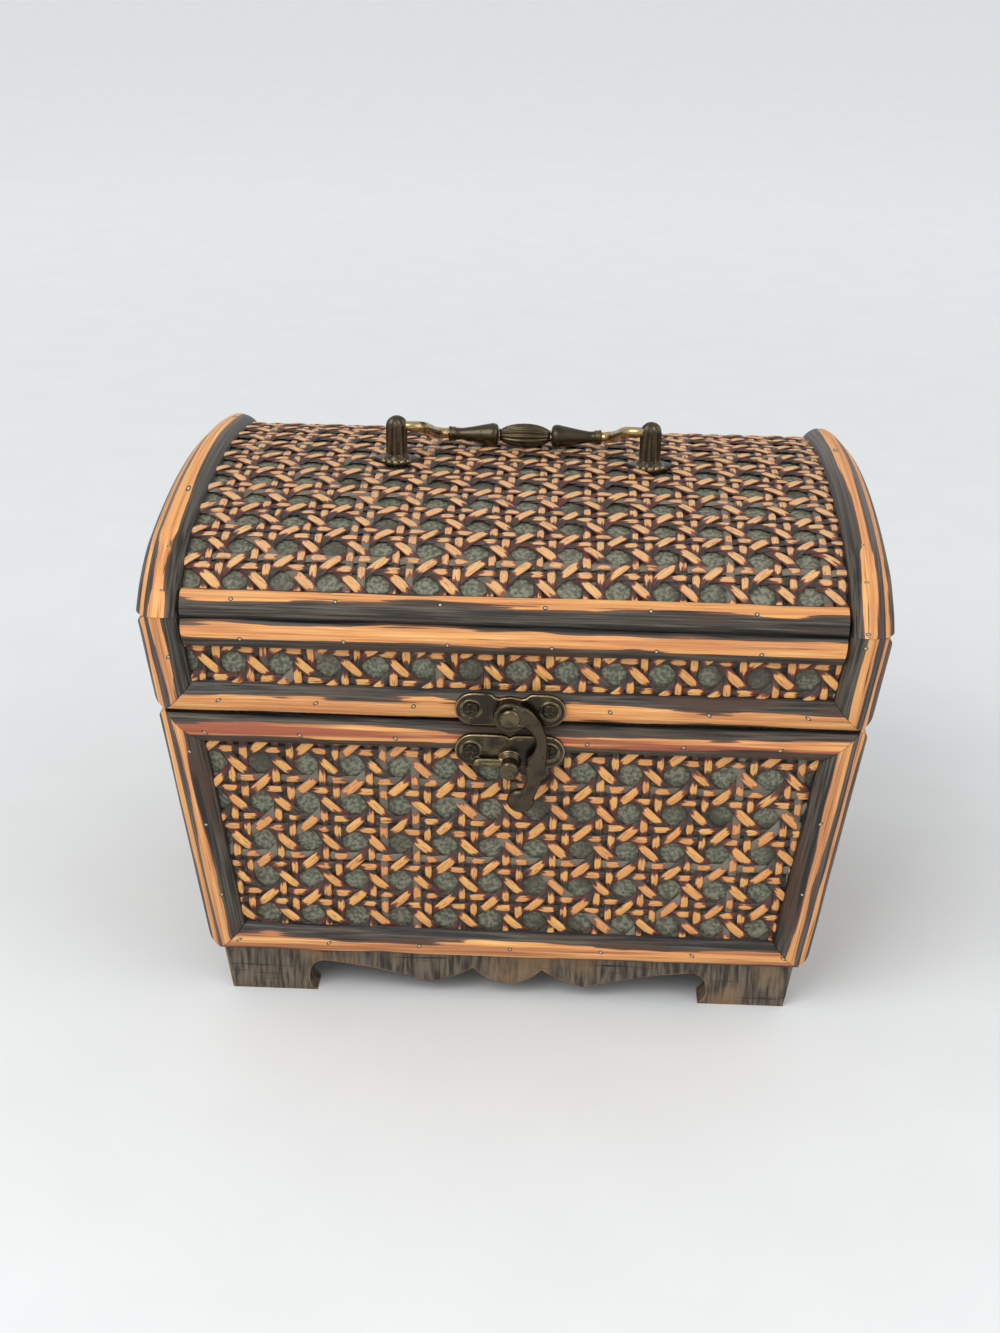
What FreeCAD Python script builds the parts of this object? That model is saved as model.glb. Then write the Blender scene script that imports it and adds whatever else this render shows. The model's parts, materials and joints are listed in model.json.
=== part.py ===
import FreeCAD, Part
import math
import os

# Dome-lidded cane and bamboo keepsake box, in millimetres.
# The origin is on the floor under the middle of the box. +Z is up and the front faces -Y.

os.makedirs("parts", exist_ok=True)
Vec = FreeCAD.Vector

# Carcass. Widths run along X and depths along Y, both over the bare boards.
ridge_width = 192.0
ridge_depth = 146.0
side_lean = 7.0
front_lean = 5.5
plinth_height = 15.5
parting_height = 95.0
band_height = 28.5
lid_gap = 0.3
board_thickness = 6.0
floor_thickness = 5.0
plinth_thickness = 8.0

# Domed top: a wide crown arc between two tighter shoulder arcs.
dome_rise = 19.5
crown_radius = 235.0
crown_half_depth = 50.0
dome_board_thickness = 3.0

# Woven cane: the lattice's pitch and its open eyes.
cane_thickness = 1.2
cane_pitch = 12.7
cane_eye = 5.6
eye_sides = 4
base_front_columns = 12
base_side_columns = 9
base_rows = 5
base_first_row = 12.6
lid_front_columns = 13
lid_side_columns = 10
dome_rows = 11
dome_first_row = 11.7

# Split bamboo strips: half-round battens with a flat back.
strip_width = 9.5
strip_height = 3.2
moulding_width = 8.5
mitre_margin = 6.0
strip_flats = 4

# Bracket feet and scalloped apron, as heights above the floor.
foot_width_front = 25.0
foot_width_side = 22.0
foot_hook = 2.2
notch_height = 10.6
notch_run = 5.0
scallop_half_width = 22.5
scallop_height = 4.4
cusp_half_width = 10.0
cusp_height = 10.2
cusp_run = 6.0
cusp_fall = 3.5
cusp_hollow = 1.6
centre_drop_height = 4.8
brow_bulge = 0.8
apron_flats = 4

# Hook latch on the middle of the front.
plate_length = 29.7
plate_height = 9.8
plate_thickness = 1.1
plate_waist = 1.6
plate_waist_half_width = 5.9
plate_screw_spacing = 21.0
upper_plate_rise = 5.6
lower_plate_drop = 7.2
pivot_rise = 5.0
post_drop = 10.4
post_radius = 2.2
post_length = 4.4
post_cap_radius = 2.7
post_cap_height = 1.2
post_cap_taper = 0.6
post_foot_radius = 3.3
post_foot_height = 0.8
side_arm_length = 9.0
side_arm_radius = 1.3
side_arm_rise = 1.0
hook_thickness = 2.0
hook_standoff = 1.1
hook_boss_radius = 4.6
hook_bow = 8.6
hook_bulb_radius = 3.9
hook_bulb_drop = 11.0
rivet_radius = 1.2
rivet_head_radius = 2.8
rivet_head_height = 1.1
pivot_clearance = 0.05
face_clearance = 0.3
round_flats = 8
hook_flats = 8

# Wood screws. They and the studs are drawn with few sides.
screw_head_height = 0.7
screw_head_taper = 0.7
fastener_flats = 6
latch_screw_head = 2.1
latch_screw_shank = 0.9
latch_screw_length = 7.0

# Pair of butt hinges on the back.
hinge_spacing = 110.0
leaf_width = 22.0
leaf_height = 9.5
leaf_thickness = 1.0
knuckle_radius = 1.8
knuckle_rise = 0.6
middle_knuckle = 8.0
knuckle_gap = 0.2
hinge_pin_radius = 0.75
hinge_pin_head_radius = 1.2
hinge_pin_head = 0.6
hinge_screw_spacing = 13.0
hinge_screw_head = 1.7
hinge_screw_shank = 0.8
hinge_screw_length = 6.5

# Swinging bail handle on the crown of the lid.
post_spacing = 74.0
handle_post_radius = 3.2
handle_post_height = 13.6
bail_pivot_height = 10.4
bail_pin_length = 4.6
bail_rod_radius = 1.45
bail_reach = 18.0
bail_bend_radius = 4.5
bail_bend_turn = 80.0
bail_bend_flats = 3
collar_length = 1.6
collar_radius = 2.3
grip_neck_radius = 1.7
grip_radius = 3.5
bead_radius = 3.6
bead_half_length = 7.6
bead_neck_radius = 2.1
bead_grip_gap = 0.3
rosette_length = 16.0
rosette_width = 12.0
rosette_thickness = 1.3
post_stud_radius = 1.5
stud_overrun = 1.5
nut_radius = 3.2
nut_thickness = 2.4
handle_rest_gap = 0.4

ridge_height = parting_height + band_height
side_tan = math.tan(math.radians(side_lean))
front_tan = math.tan(math.radians(front_lean))


def half_width(height):
    return ridge_width / 2 - side_tan * (ridge_height - height)


def half_depth(height):
    return ridge_depth / 2 - front_tan * (ridge_height - height)


def flat_face(corners):
    return Part.Face(Part.makePolygon(corners + corners[:1]))


def solid_through(outlines):
    """Solid with flat sides through outlines of as many points, listed the same way round."""
    faces = [flat_face(outlines[0]), flat_face(outlines[-1])]
    for lower, upper in zip(outlines, outlines[1:]):
        for i in range(len(lower)):
            j = (i + 1) % len(lower)
            faces.append(flat_face([lower[i], lower[j], upper[j], upper[i]]))
    solid = Part.makeSolid(Part.makeShell(faces))
    solid.fix(1e-6, 1e-6, 1e-6)
    if solid.Volume < 0:
        solid.reverse()
    return solid.removeSplitter()


def round_corners(radius, flats):
    """Corners of a regular outline that stands for a circle."""
    turns = [2 * math.pi * i / flats for i in range(flats)]
    return [Vec(radius * math.cos(angle), radius * math.sin(angle), 0) for angle in turns]


def lathe(rings, flats):
    """Turned piece with flat sides through rings of (radius, height)."""
    outlines = []
    for radius, height in rings:
        outlines.append([corner + Vec(0, 0, height) for corner in round_corners(radius, flats)])
    return solid_through(outlines)


def tapered_box(low, high, reach_x, reach_y):
    """Box between two heights whose half sizes in X and Y are functions of the height."""
    outlines = []
    for height in (low, high):
        x = reach_x(height)
        y = reach_y(height)
        outlines.append([Vec(-x, -y, height), Vec(x, -y, height), Vec(x, y, height), Vec(-x, y, height)])
    return solid_through(outlines)


def four_walls(low, high, outside, inside):
    """Leaning walls as {side: solid}. The front and back run the full width, the ends fit between them."""
    outer = tapered_box(low, high, lambda z: half_width(z) + outside, lambda z: half_depth(z) + outside)
    middle = tapered_box(low, high, lambda z: ridge_width, lambda z: half_depth(z) + inside)
    core = tapered_box(low, high, lambda z: half_width(z) + inside, lambda z: half_depth(z) + inside)
    front, back = sorted(outer.cut(middle).Solids, key=lambda s: s.CenterOfMass.y)
    left, right = sorted(outer.common(middle).cut(core).Solids, key=lambda s: s.CenterOfMass.x)
    return {"front": front, "back": back, "left": left, "right": right}


def face_frame(side, low, outside):
    """Placement of a leaning face seen from outside: X along it, Y up its slope, Z out of it."""
    front_sin = math.sin(math.radians(front_lean))
    front_cos = math.cos(math.radians(front_lean))
    side_sin = math.sin(math.radians(side_lean))
    side_cos = math.cos(math.radians(side_lean))
    across, up, foot = {
        "front": (Vec(1, 0, 0), Vec(0, -front_sin, front_cos), Vec(0, -half_depth(low) - outside, low)),
        "back": (Vec(-1, 0, 0), Vec(0, front_sin, front_cos), Vec(0, half_depth(low) + outside, low)),
        "right": (Vec(0, 1, 0), Vec(side_sin, 0, side_cos), Vec(half_width(low) + outside, 0, low)),
        "left": (Vec(0, -1, 0), Vec(-side_sin, 0, side_cos), Vec(-half_width(low) - outside, 0, low)),
    }[side]
    return FreeCAD.Placement(foot, FreeCAD.Rotation(across, up, across.cross(up), "XYZ"))


def slope_length(side, low, high):
    lean = front_lean if side in ("front", "back") else side_lean
    return (high - low) / math.cos(math.radians(lean))


def face_outline(side, low, high):
    """Corners of the face over the cane, in its own frame, from the lower left round to the upper left."""
    reach = half_width if side in ("front", "back") else half_depth
    lower = reach(low) + cane_thickness
    upper = reach(high) + cane_thickness
    length = slope_length(side, low, high)
    return [Vec(-lower, 0, 0), Vec(lower, 0, 0), Vec(upper, length, 0), Vec(-upper, length, 0)]


def prism(points, low, high):
    return flat_face([Vec(p.x, p.y, low) for p in points]).extrude(Vec(0, 0, high - low))


def strip_section(width):
    """Section of a half-round batten as (across, height) corners, from edge to edge over its crest."""
    crest = Part.Arc(Vec(0, 0, 0), Vec(width / 2, strip_height, 0), Vec(width, 0, 0)).toShape()
    return [(corner.x, corner.y) for corner in crest.discretize(strip_flats + 1)]


def half_round(start, end, width, margin):
    """Batten along start to end in the XY plane, flat side down, on the left of its line."""
    along = (end - start).normalize()
    inward = Vec(-along.y, along.x, 0)
    first = start - along * margin
    corners = [first + inward * across + Vec(0, 0, height) for across, height in strip_section(width)]
    return flat_face(corners).extrude(along * ((end - start).Length + 2 * margin))


def inset_corner(before, corner, after, width_before, width_after):
    """Corner of the outline drawn in by one width from each of its two sides."""
    u = (corner - before).normalize()
    v = (after - corner).normalize()
    base_u = corner + Vec(-u.y, u.x, 0) * width_before
    base_v = corner + Vec(-v.y, v.x, 0) * width_after
    turn = u.x * v.y - u.y * v.x
    shift = base_v - base_u
    reach = (shift.x * v.y - shift.y * v.x) / turn
    return base_u + u * reach


def clipped_strip(start, end, outline, width):
    """Half-round batten whose ends are cut to an outline."""
    batten = half_round(start, end, width, mitre_margin)
    return batten.common(prism(outline, -1.0, strip_height + 1.0))


def mitred_frame(side, low, high, top_width):
    """Four mitred strips round a face: bottom, right, top and left, placed on the cane."""
    corners = face_outline(side, low, high)
    widths = [strip_width, strip_width, top_width, strip_width]
    inner = []
    for i in range(4):
        inner.append(inset_corner(corners[i - 1], corners[i], corners[(i + 1) % 4], widths[i - 1], widths[i]))
    place = face_frame(side, low, cane_thickness)
    strips = []
    for i in range(4):
        j = (i + 1) % 4
        outline = [corners[i], corners[j], inner[j], inner[i]]
        strips.append(placed(clipped_strip(corners[i], corners[j], outline, widths[i]), place))
    return strips


def placed(shape, placement):
    moved = shape.copy()
    moved.Placement = placement.multiply(moved.Placement)
    return moved


def eye_prism(depth):
    """Cutter for one open eye of the cane, with a flat to each side."""
    radius = cane_eye / 2 / math.cos(math.pi / eye_sides)
    points = []
    for i in range(eye_sides):
        angle = math.radians(360.0 / eye_sides * (i + 0.5))
        points.append(Vec(radius * math.cos(angle), radius * math.sin(angle), 0))
    return prism(points, -depth, depth)


def centred_columns(count):
    return [(i - (count - 1) / 2) * cane_pitch for i in range(count)]


def with_eyes(sheet, side, low, columns, rows):
    """Cane sheet with its lattice of eyes cut through, in the frame of its face."""
    place = face_frame(side, low, cane_thickness)
    cutter = eye_prism(3 * cane_thickness)
    eyes = []
    for row in rows:
        for column in centred_columns(columns):
            eyes.append(placed(cutter, shifted(place, column, row, 0)))
    return sheet.cut(Part.makeCompound(eyes)).Solids[0]


# The dome's profile in the YZ plane.
crown_angle = math.asin(crown_half_depth / crown_radius)
crown_top = ridge_height + dome_rise
crown_centre = crown_top - crown_radius
joint_to_ridge_y = ridge_depth / 2 - crown_half_depth
joint_drop = crown_radius * (1 - math.cos(crown_angle))
joint_to_ridge_z = joint_drop - dome_rise
shoulder_radius = -(joint_to_ridge_y ** 2 + joint_to_ridge_z ** 2) / (
    2 * (joint_to_ridge_y * math.sin(crown_angle) + joint_to_ridge_z * math.cos(crown_angle)))
shoulder_y = crown_half_depth - shoulder_radius * math.sin(crown_angle)
shoulder_z = crown_top - joint_drop - shoulder_radius * math.cos(crown_angle)


def ridge_angle(radius):
    """Angle from the vertical at which a shoulder arc of this radius comes down to the ridge line."""
    return math.acos((ridge_height - shoulder_z) / radius)


def dome_point(angle, offset):
    """Point of the profile, moved out by an offset, where its normal leans back by an angle."""
    if abs(angle) <= crown_angle:
        radius = crown_radius + offset
        return Vec(0, radius * math.sin(angle), crown_centre + radius * math.cos(angle))
    radius = shoulder_radius + offset
    centre_y = math.copysign(shoulder_y, angle)
    return Vec(0, centre_y + radius * math.sin(angle), shoulder_z + radius * math.cos(angle))


cane_shoulder = shoulder_radius + cane_thickness
cane_crown = crown_radius + cane_thickness
ridge_end = ridge_angle(cane_shoulder)
shoulder_run = cane_shoulder * (ridge_end - crown_angle)
crown_run = 2 * cane_crown * crown_angle
least_fold = 0.004


def dome_angle(arc_length):
    """Angle of the profile's normal at a length along the cane from the front ridge."""
    if arc_length < shoulder_run:
        return arc_length / cane_shoulder - ridge_end
    if arc_length < shoulder_run + crown_run:
        return (arc_length - shoulder_run) / cane_crown - crown_angle
    return crown_angle + (arc_length - shoulder_run - crown_run) / cane_shoulder


def dome_folds(end):
    """Angles of the folds between the flats that follow the profile, with each row of eyes within one flat."""
    folds = [-crown_angle, crown_angle]
    for spacing, on_crown in ((cane_pitch / 2, False), (cane_pitch, True)):
        place = (dome_first_row - spacing / 2) % spacing
        while place < 2 * shoulder_run + crown_run:
            angle = dome_angle(place)
            clear = abs(abs(angle) - crown_angle) > least_fold
            if clear and (abs(angle) < crown_angle) == on_crown:
                folds.append(angle)
            place += spacing
    return [-end] + sorted(fold for fold in folds if abs(fold) < end - least_fold) + [end]


def dome_solid(offset, reach_x):
    """Everything between the ridge line's plane and the profile moved out by an offset."""
    profile = flat_face([dome_point(angle, offset) for angle in dome_folds(ridge_angle(shoulder_radius + offset))])
    profile.translate(Vec(-reach_x, 0, 0))
    return profile.extrude(Vec(2 * reach_x, 0, 0))


def section_at(angle, section):
    """Corners of a section of (x, offset) points where the profile's normal leans back by an angle."""
    return [dome_point(angle, offset) + Vec(x, 0, 0) for x, offset in section]


def folded_strip(section):
    """Strip whose section is carried along the folds of the profile from ridge to ridge."""
    return solid_through([section_at(angle, section) for angle in dome_folds(ridge_end)])


def write(node, shape):
    solids = shape.Solids
    volume = sum(s.Volume for s in solids)
    print(f"{node:28s} solids {len(solids)}  valid {shape.isValid()}  volume {volume:9.1f}")
    if len(solids) == 1:
        shape = solids[0]
    else:
        shape = Part.makeCompound(solids)
    shape.exportStep(f"parts/{node}.step")


def screw(place, head_radius, shank_radius, length):
    """Wood screw standing in a face frame, with its head on the plane z = 0."""
    rings = [
        (shank_radius, -length),
        (shank_radius, 0),
        (head_radius, 0),
        (head_radius * screw_head_taper, screw_head_height),
    ]
    return placed(lathe(rings, fastener_flats), place)


def shifted(place, x, y, z):
    """The same frame with its origin moved along its own axes."""
    return place.multiply(FreeCAD.Placement(Vec(x, y, z), FreeCAD.Rotation()))


def pierced(shape, cutters):
    """Solids of a shape with the cutters' holes through them."""
    return shape.cut(Part.makeCompound(cutters)).Solids


lid_low = parting_height + lid_gap

# Boards of the base and the lid.
base_boards = four_walls(plinth_height, parting_height, 0, -board_thickness)
lid_rails = four_walls(lid_low, ridge_height, 0, -board_thickness)
floor_board = tapered_box(
    plinth_height,
    plinth_height + floor_thickness,
    lambda z: half_width(z) - board_thickness,
    lambda z: half_depth(z) - board_thickness)
plinth_boards = four_walls(0, plinth_height, 0, -plinth_thickness)
dome_reach = ridge_width / 2
dome_board = dome_solid(0, dome_reach).cut(dome_solid(-dome_board_thickness, dome_reach + 1))
under_dome = dome_solid(-dome_board_thickness, dome_reach)
end_space = Part.makeBox(ridge_width - 2 * board_thickness, ridge_depth * 2, ridge_height)
end_space.translate(Vec(-dome_reach + board_thickness, -ridge_depth, ridge_height - 1))
left_lunette, right_lunette = sorted(under_dome.cut(end_space).Solids, key=lambda s: s.CenterOfMass.x)


def curve_through(points):
    curve = Part.BSplineCurve()
    curve.interpolate(points)
    return curve.toShape()


def apron_cutter(side, half_run, foot_width):
    """Space under the apron between two bracket feet, in the frame of the plinth's face."""
    foot = half_run - foot_width
    centre = Vec(0, centre_drop_height, 0)
    hollow = Vec(cusp_half_width * 0.56, centre_drop_height + cusp_hollow, 0)
    cusp = Vec(cusp_half_width, cusp_height, 0)
    fall = Vec(cusp_half_width + cusp_run, cusp_height - cusp_fall, 0)
    scallop = Vec(scallop_half_width, scallop_height, 0)
    notch = Vec(foot - notch_run, notch_height, 0)
    brow = (scallop + notch) * 0.5 + Vec(0, brow_bulge, 0)
    notch_bend = Vec(foot + foot_hook * 0.35, notch_height * 0.9, 0)
    bulge = Vec(foot + foot_hook, notch_height * 0.55, 0)
    heel_bend = Vec(foot + foot_hook * 0.85, notch_height * 0.22, 0)
    heel = Vec(foot, 0, 0)
    right = []
    for curve in (
            (centre, hollow, cusp),
            (cusp, fall, scallop),
            (scallop, brow, notch),
            (notch, notch_bend, bulge),
            (bulge, heel_bend, heel)):
        right += curve_through(list(curve)).discretize(apron_flats + 1)[:-1]
    right += [heel, Vec(foot, -notch_height, 0)]
    left = [Vec(-corner.x, corner.y, 0) for corner in reversed(right[1:])]
    cutter = prism(right + left, -2 * plinth_thickness, plinth_thickness)
    return placed(cutter, face_frame(side, 0, 0))


for side in plinth_boards:
    along_front = side in ("front", "back")
    half_run = half_width(0) if along_front else half_depth(0)
    foot_width = foot_width_front if along_front else foot_width_side
    plinth_boards[side] = plinth_boards[side].cut(apron_cutter(side, half_run, foot_width))

# Cane over every outside face.
base_cane = four_walls(plinth_height, parting_height, cane_thickness, 0)
lid_cane = four_walls(lid_low, ridge_height, cane_thickness, 0)
base_row_heights = [base_first_row + i * cane_pitch for i in range(base_rows)]
lid_row = (slope_length("front", lid_low, ridge_height) + strip_width - moulding_width) / 2
for side in base_cane:
    along_front = side in ("front", "back")
    base_columns = base_front_columns if along_front else base_side_columns
    lid_columns = lid_front_columns if along_front else lid_side_columns
    base_cane[side] = with_eyes(base_cane[side], side, plinth_height, base_columns, base_row_heights)
    lid_cane[side] = with_eyes(lid_cane[side], side, lid_low, lid_columns, [lid_row])
cane_reach = dome_reach + cane_thickness
dome_cane = dome_solid(cane_thickness, cane_reach).cut(dome_solid(0, cane_reach + 1))
dome_eyes = []
for row in range(dome_rows):
    angle = dome_angle(dome_first_row + row * cane_pitch)
    for column in centred_columns(lid_front_columns):
        spot = dome_point(angle, cane_thickness) + Vec(column, 0, 0)
        tilt = FreeCAD.Rotation(Vec(-1, 0, 0), math.degrees(angle))
        dome_eyes.append(placed(eye_prism(2 * cane_thickness), FreeCAD.Placement(spot, tilt)))
dome_cane = dome_cane.cut(Part.makeCompound(dome_eyes)).Solids[0]
lunette_cane = {}
for side, way in (("left", -1), ("right", 1)):
    edge = Part.makeBox(cane_thickness, ridge_depth * 2, ridge_height)
    start_x = dome_reach if way > 0 else -cane_reach
    edge.translate(Vec(start_x, -ridge_depth, ridge_height))
    lunette_cane[side] = dome_solid(0, cane_reach).common(edge).Solids[0]

# Strips round the four faces of the base.
base_strips = {}
for side in ("front", "back", "left", "right"):
    base_strips[side] = mitred_frame(side, plinth_height, parting_height, strip_width)

# Strips round the lid's straight band. The front and back stiles run up to the arch strips.
lid_strips = {}
for side in ("left", "right"):
    lid_strips[side] = mitred_frame(side, lid_low, ridge_height, moulding_width)

face_angle = math.radians(90 + front_lean)
mitre_angle = (ridge_end + face_angle) / 2
ridge_reach = dome_point(ridge_end, cane_thickness).y


def above_mitre(way):
    """Half space above the mitre between a stile and the arch strip, at the front (-1) or back (1) ridge."""
    size = 4 * ridge_width
    block = Part.makeBox(size, size, size)
    block.translate(Vec(-size / 2, -size / 2, 0))
    tilt = -way * (90 - math.degrees(mitre_angle))
    block.rotate(Vec(0, 0, 0), Vec(-1, 0, 0), tilt)
    block.translate(Vec(0, way * ridge_reach, ridge_height))
    return block


for side, way in (("front", -1), ("back", 1)):
    corners = face_outline(side, lid_low, ridge_height)
    place = face_frame(side, lid_low, cane_thickness)
    low_left = inset_corner(corners[3], corners[0], corners[1], strip_width, strip_width)
    low_right = inset_corner(corners[0], corners[1], corners[2], strip_width, strip_width)
    rise_right = (corners[2] - corners[1]).normalize()
    rise_left = (corners[3] - corners[0]).normalize()
    top_right = corners[2] + rise_right * mitre_margin
    top_left = corners[3] + rise_left * mitre_margin
    in_right = top_right + Vec(-rise_right.y, rise_right.x, 0) * strip_width
    in_left = top_left + Vec(rise_left.y, -rise_left.x, 0) * strip_width
    bottom_outline = [corners[0], corners[1], low_right, low_left]
    right_outline = [corners[1], top_right, in_right, low_right]
    left_outline = [top_left, corners[0], low_left, in_left]
    bottom = clipped_strip(corners[0], corners[1], bottom_outline, strip_width)
    right_stile = clipped_strip(corners[1], top_right, right_outline, strip_width)
    left_stile = clipped_strip(top_left, corners[0], left_outline, strip_width)
    stiles = [placed(s, place).cut(above_mitre(way)) for s in (left_stile, right_stile)]
    ridge_right = inset_corner(corners[1], corners[2], corners[3], strip_width, 0)
    ridge_left = inset_corner(corners[2], corners[3], corners[0], 0, strip_width)
    under_right = inset_corner(corners[1], corners[2], corners[3], strip_width, moulding_width)
    under_left = inset_corner(corners[2], corners[3], corners[0], moulding_width, strip_width)
    ridge_outline = [ridge_right, ridge_left, under_left, under_right]
    ridge = clipped_strip(ridge_right, ridge_left, ridge_outline, moulding_width)
    lid_strips[side] = {
        "bottom": placed(bottom, place),
        "stiles": stiles,
        "ridge": placed(ridge, place),
    }

# Strips on the dome: one along each ridge, one over each end of the dome and one on each end face.
moulding_turn = 2 * math.asin(moulding_width / 2 / cane_shoulder)
moulding_reach = cane_reach - strip_width
for side, way in (("front", -1), ("back", 1)):
    low_edge = dome_point(way * ridge_end, cane_thickness)
    high_edge = dome_point(way * (ridge_end - moulding_turn), cane_thickness)
    middle = way * (ridge_end - moulding_turn / 2)
    outward = Vec(0, math.sin(middle), math.cos(middle))
    inward = (high_edge - low_edge).normalize()
    section = flat_face([low_edge + inward * across + outward * height
                         for across, height in strip_section(moulding_width)])
    section.translate(Vec(-moulding_reach, 0, 0))
    moulding = section.extrude(Vec(2 * moulding_reach, 0, 0))
    lid_strips[side]["dome"] = moulding.cut(dome_solid(cane_thickness, cane_reach)).Solids[0]

cane_top = crown_top + cane_thickness
arch_strips = {}
end_arches = {}
ridge_floor = Part.makeBox(4 * ridge_width, 4 * ridge_depth, ridge_height)
ridge_floor.translate(Vec(-2 * ridge_width, -2 * ridge_depth, 0))
for side, way in (("left", -1), ("right", 1)):
    outer_x = way * cane_reach
    section = strip_section(strip_width)
    top_section = [(outer_x - way * across, cane_thickness + height) for across, height in section]
    runs = []
    for end_way in (-1, 1):
        onward = Vec(0, end_way * math.cos(ridge_end), -math.sin(ridge_end))
        run = flat_face(section_at(end_way * ridge_end, top_section)).extrude(onward * mitre_margin)
        runs.append(run.common(above_mitre(end_way)))
    arch_strips[side] = folded_strip(top_section).fuse(runs).removeSplitter().Solids[0]
    side_section = [(outer_x + way * height, cane_thickness - across) for across, height in section]
    end_arches[side] = folded_strip(side_section).cut(ridge_floor).Solids[0]

# Hook latch. Its plates lie on the crests of the strips on either side of the parting.
latch_frame = shifted(face_frame("front", parting_height, cane_thickness), 0, 0, strip_height)


def latch_plate():
    """Plate with round ends and a waist in its upper edge, centred on its screws."""
    radius = plate_height / 2
    reach = plate_length / 2 - radius
    waist = plate_waist_half_width
    corners = []
    for arc in (
            Part.Arc(Vec(reach, -radius, 0), Vec(reach + radius, 0, 0), Vec(reach, radius, 0)),
            Part.Arc(Vec(waist, radius, 0), Vec(0, radius - plate_waist, 0), Vec(-waist, radius, 0)),
            Part.Arc(Vec(-reach, radius, 0), Vec(-reach - radius, 0, 0), Vec(-reach, -radius, 0))):
        corners += arc.toShape().discretize(round_flats // 2 + 1)
    return prism(corners, 0, plate_thickness)


def plate_screws(rise):
    screws = []
    for way in (-1, 1):
        seat = shifted(latch_frame, way * plate_screw_spacing / 2, rise, plate_thickness)
        screws.append(screw(seat, latch_screw_head, latch_screw_shank, latch_screw_length))
    return screws


hook_plate_screws = plate_screws(upper_plate_rise)
keeper_screws = plate_screws(-lower_plate_drop)
hook_plate = placed(latch_plate(), shifted(latch_frame, 0, upper_plate_rise, 0))
pivot_frame = shifted(latch_frame, 0, pivot_rise, 0)
rivet_hole = placed(prism(round_corners(rivet_radius, round_flats), 0, plate_thickness), pivot_frame)
hook_plate = pierced(hook_plate, hook_plate_screws + [rivet_hole])[0]

boss_low = plate_thickness + face_clearance
hook_low = plate_thickness + hook_standoff
hook_top = hook_low + hook_thickness
rivet_neck = hook_top + face_clearance
rivet = lathe([
    (rivet_radius, 0),
    (rivet_radius, rivet_neck),
    (rivet_head_radius, rivet_neck),
    (rivet_head_radius * 0.85, rivet_neck + rivet_head_height * 0.55),
    (rivet_head_radius * 0.45, rivet_neck + rivet_head_height),
], round_flats)
hook_rivet = placed(rivet, pivot_frame)

# The hook bows round the right of the post and its bulb ends under it. Each station is x, y and half width.
post_distance = pivot_rise + post_drop
hook_spine = [
    (hook_bow * 0.23, 0.08 * post_distance, 3.2),
    (hook_bow * 0.82, -0.17 * post_distance, 2.1),
    (hook_bow, -0.55 * post_distance, 1.7),
    (hook_bow * 0.84, -0.92 * post_distance, 2.9),
    (hook_bow * 0.76, -1.30 * post_distance, 2.0),
    (hook_bow * 0.52, -(post_distance + hook_bulb_drop * 0.86), 2.4),
]
bulb_centre = Vec(hook_bow * 0.36, -(post_distance + hook_bulb_drop), 0)


def ribbon(stations):
    """Face along a spine of (x, y, half width) stations, with smooth sides."""
    sides = ([], [])
    for i, (x, y, half) in enumerate(stations):
        before = stations[max(i - 1, 0)]
        after = stations[min(i + 1, len(stations) - 1)]
        run = Vec(after[0] - before[0], after[1] - before[1], 0).normalize()
        across = Vec(-run.y, run.x, 0)
        sides[0].append(Vec(x, y, 0) + across * half)
        sides[1].append(Vec(x, y, 0) - across * half)
    right, left = [curve_through(points).discretize(hook_flats + 1) for points in sides]
    return flat_face(right + left[::-1])


# A bore's flats lie this share of its corners' radius from the middle.
flat_share = math.cos(math.pi / round_flats)


def round_bar(start, along, radius, length):
    """Bar with flat sides and its corners on the radius, from a point along a direction."""
    bar = prism(round_corners(radius, round_flats), 0, length)
    return placed(bar, FreeCAD.Placement(start, FreeCAD.Rotation(Vec(0, 0, 1), along)))


def round_bore(start, along, radius, length):
    """Cutter whose flats touch the radius, so that a round bar of that radius would just turn in it."""
    return round_bar(start, along, radius / flat_share, length)


up = Vec(0, 0, 1)
arm = ribbon(hook_spine).extrude(Vec(0, 0, hook_thickness))
arm.translate(Vec(0, 0, hook_low))
bulb = round_bar(bulb_centre + up * hook_low, up, hook_bulb_radius, hook_thickness)
boss = round_bar(up * boss_low, up, hook_boss_radius, hook_top - boss_low)
hook = arm.fuse([bulb, boss]).removeSplitter()
hook = hook.cut(round_bore(Vec(0, 0, 0), up, rivet_radius + pivot_clearance, hook_top * 2))
latch_hook = placed(hook.Solids[0], pivot_frame)

keeper = placed(latch_plate(), shifted(latch_frame, 0, -lower_plate_drop, 0))
post_frame = shifted(latch_frame, 0, -post_drop, plate_thickness)
post = lathe([
    (post_foot_radius, 0),
    (post_foot_radius, post_foot_height),
    (post_radius, post_foot_height),
    (post_radius, post_length),
    (post_cap_radius, post_length),
    (post_cap_radius * post_cap_taper, post_length + post_cap_height),
], round_flats)
side_arm = lathe([
    (side_arm_radius, 0),
    (side_arm_radius, side_arm_length),
    (side_arm_radius * 0.6, side_arm_length + side_arm_radius * 0.8),
], round_flats)
side_arm = placed(side_arm, FreeCAD.Placement(up * side_arm_rise, FreeCAD.Rotation(up, Vec(-1, 0, 0))))
above_plate = Part.makeBox(2 * plate_length, 2 * plate_length, 2 * plate_length)
above_plate.translate(Vec(-plate_length, -plate_length, 0))
casting = post.fuse(side_arm).common(above_plate)
keeper = keeper.fuse(placed(casting, post_frame)).removeSplitter()
latch_keeper = pierced(keeper, keeper_screws)[0]

# Butt hinges. Their leaves lie on the crests of the strips at the back, the knuckles over the parting.
hinge_frame = shifted(face_frame("back", parting_height, cane_thickness), 0, 0, strip_height)
axis_rise = lid_gap / 2
side_knuckle = (leaf_width - middle_knuckle) / 2 - knuckle_gap


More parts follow.
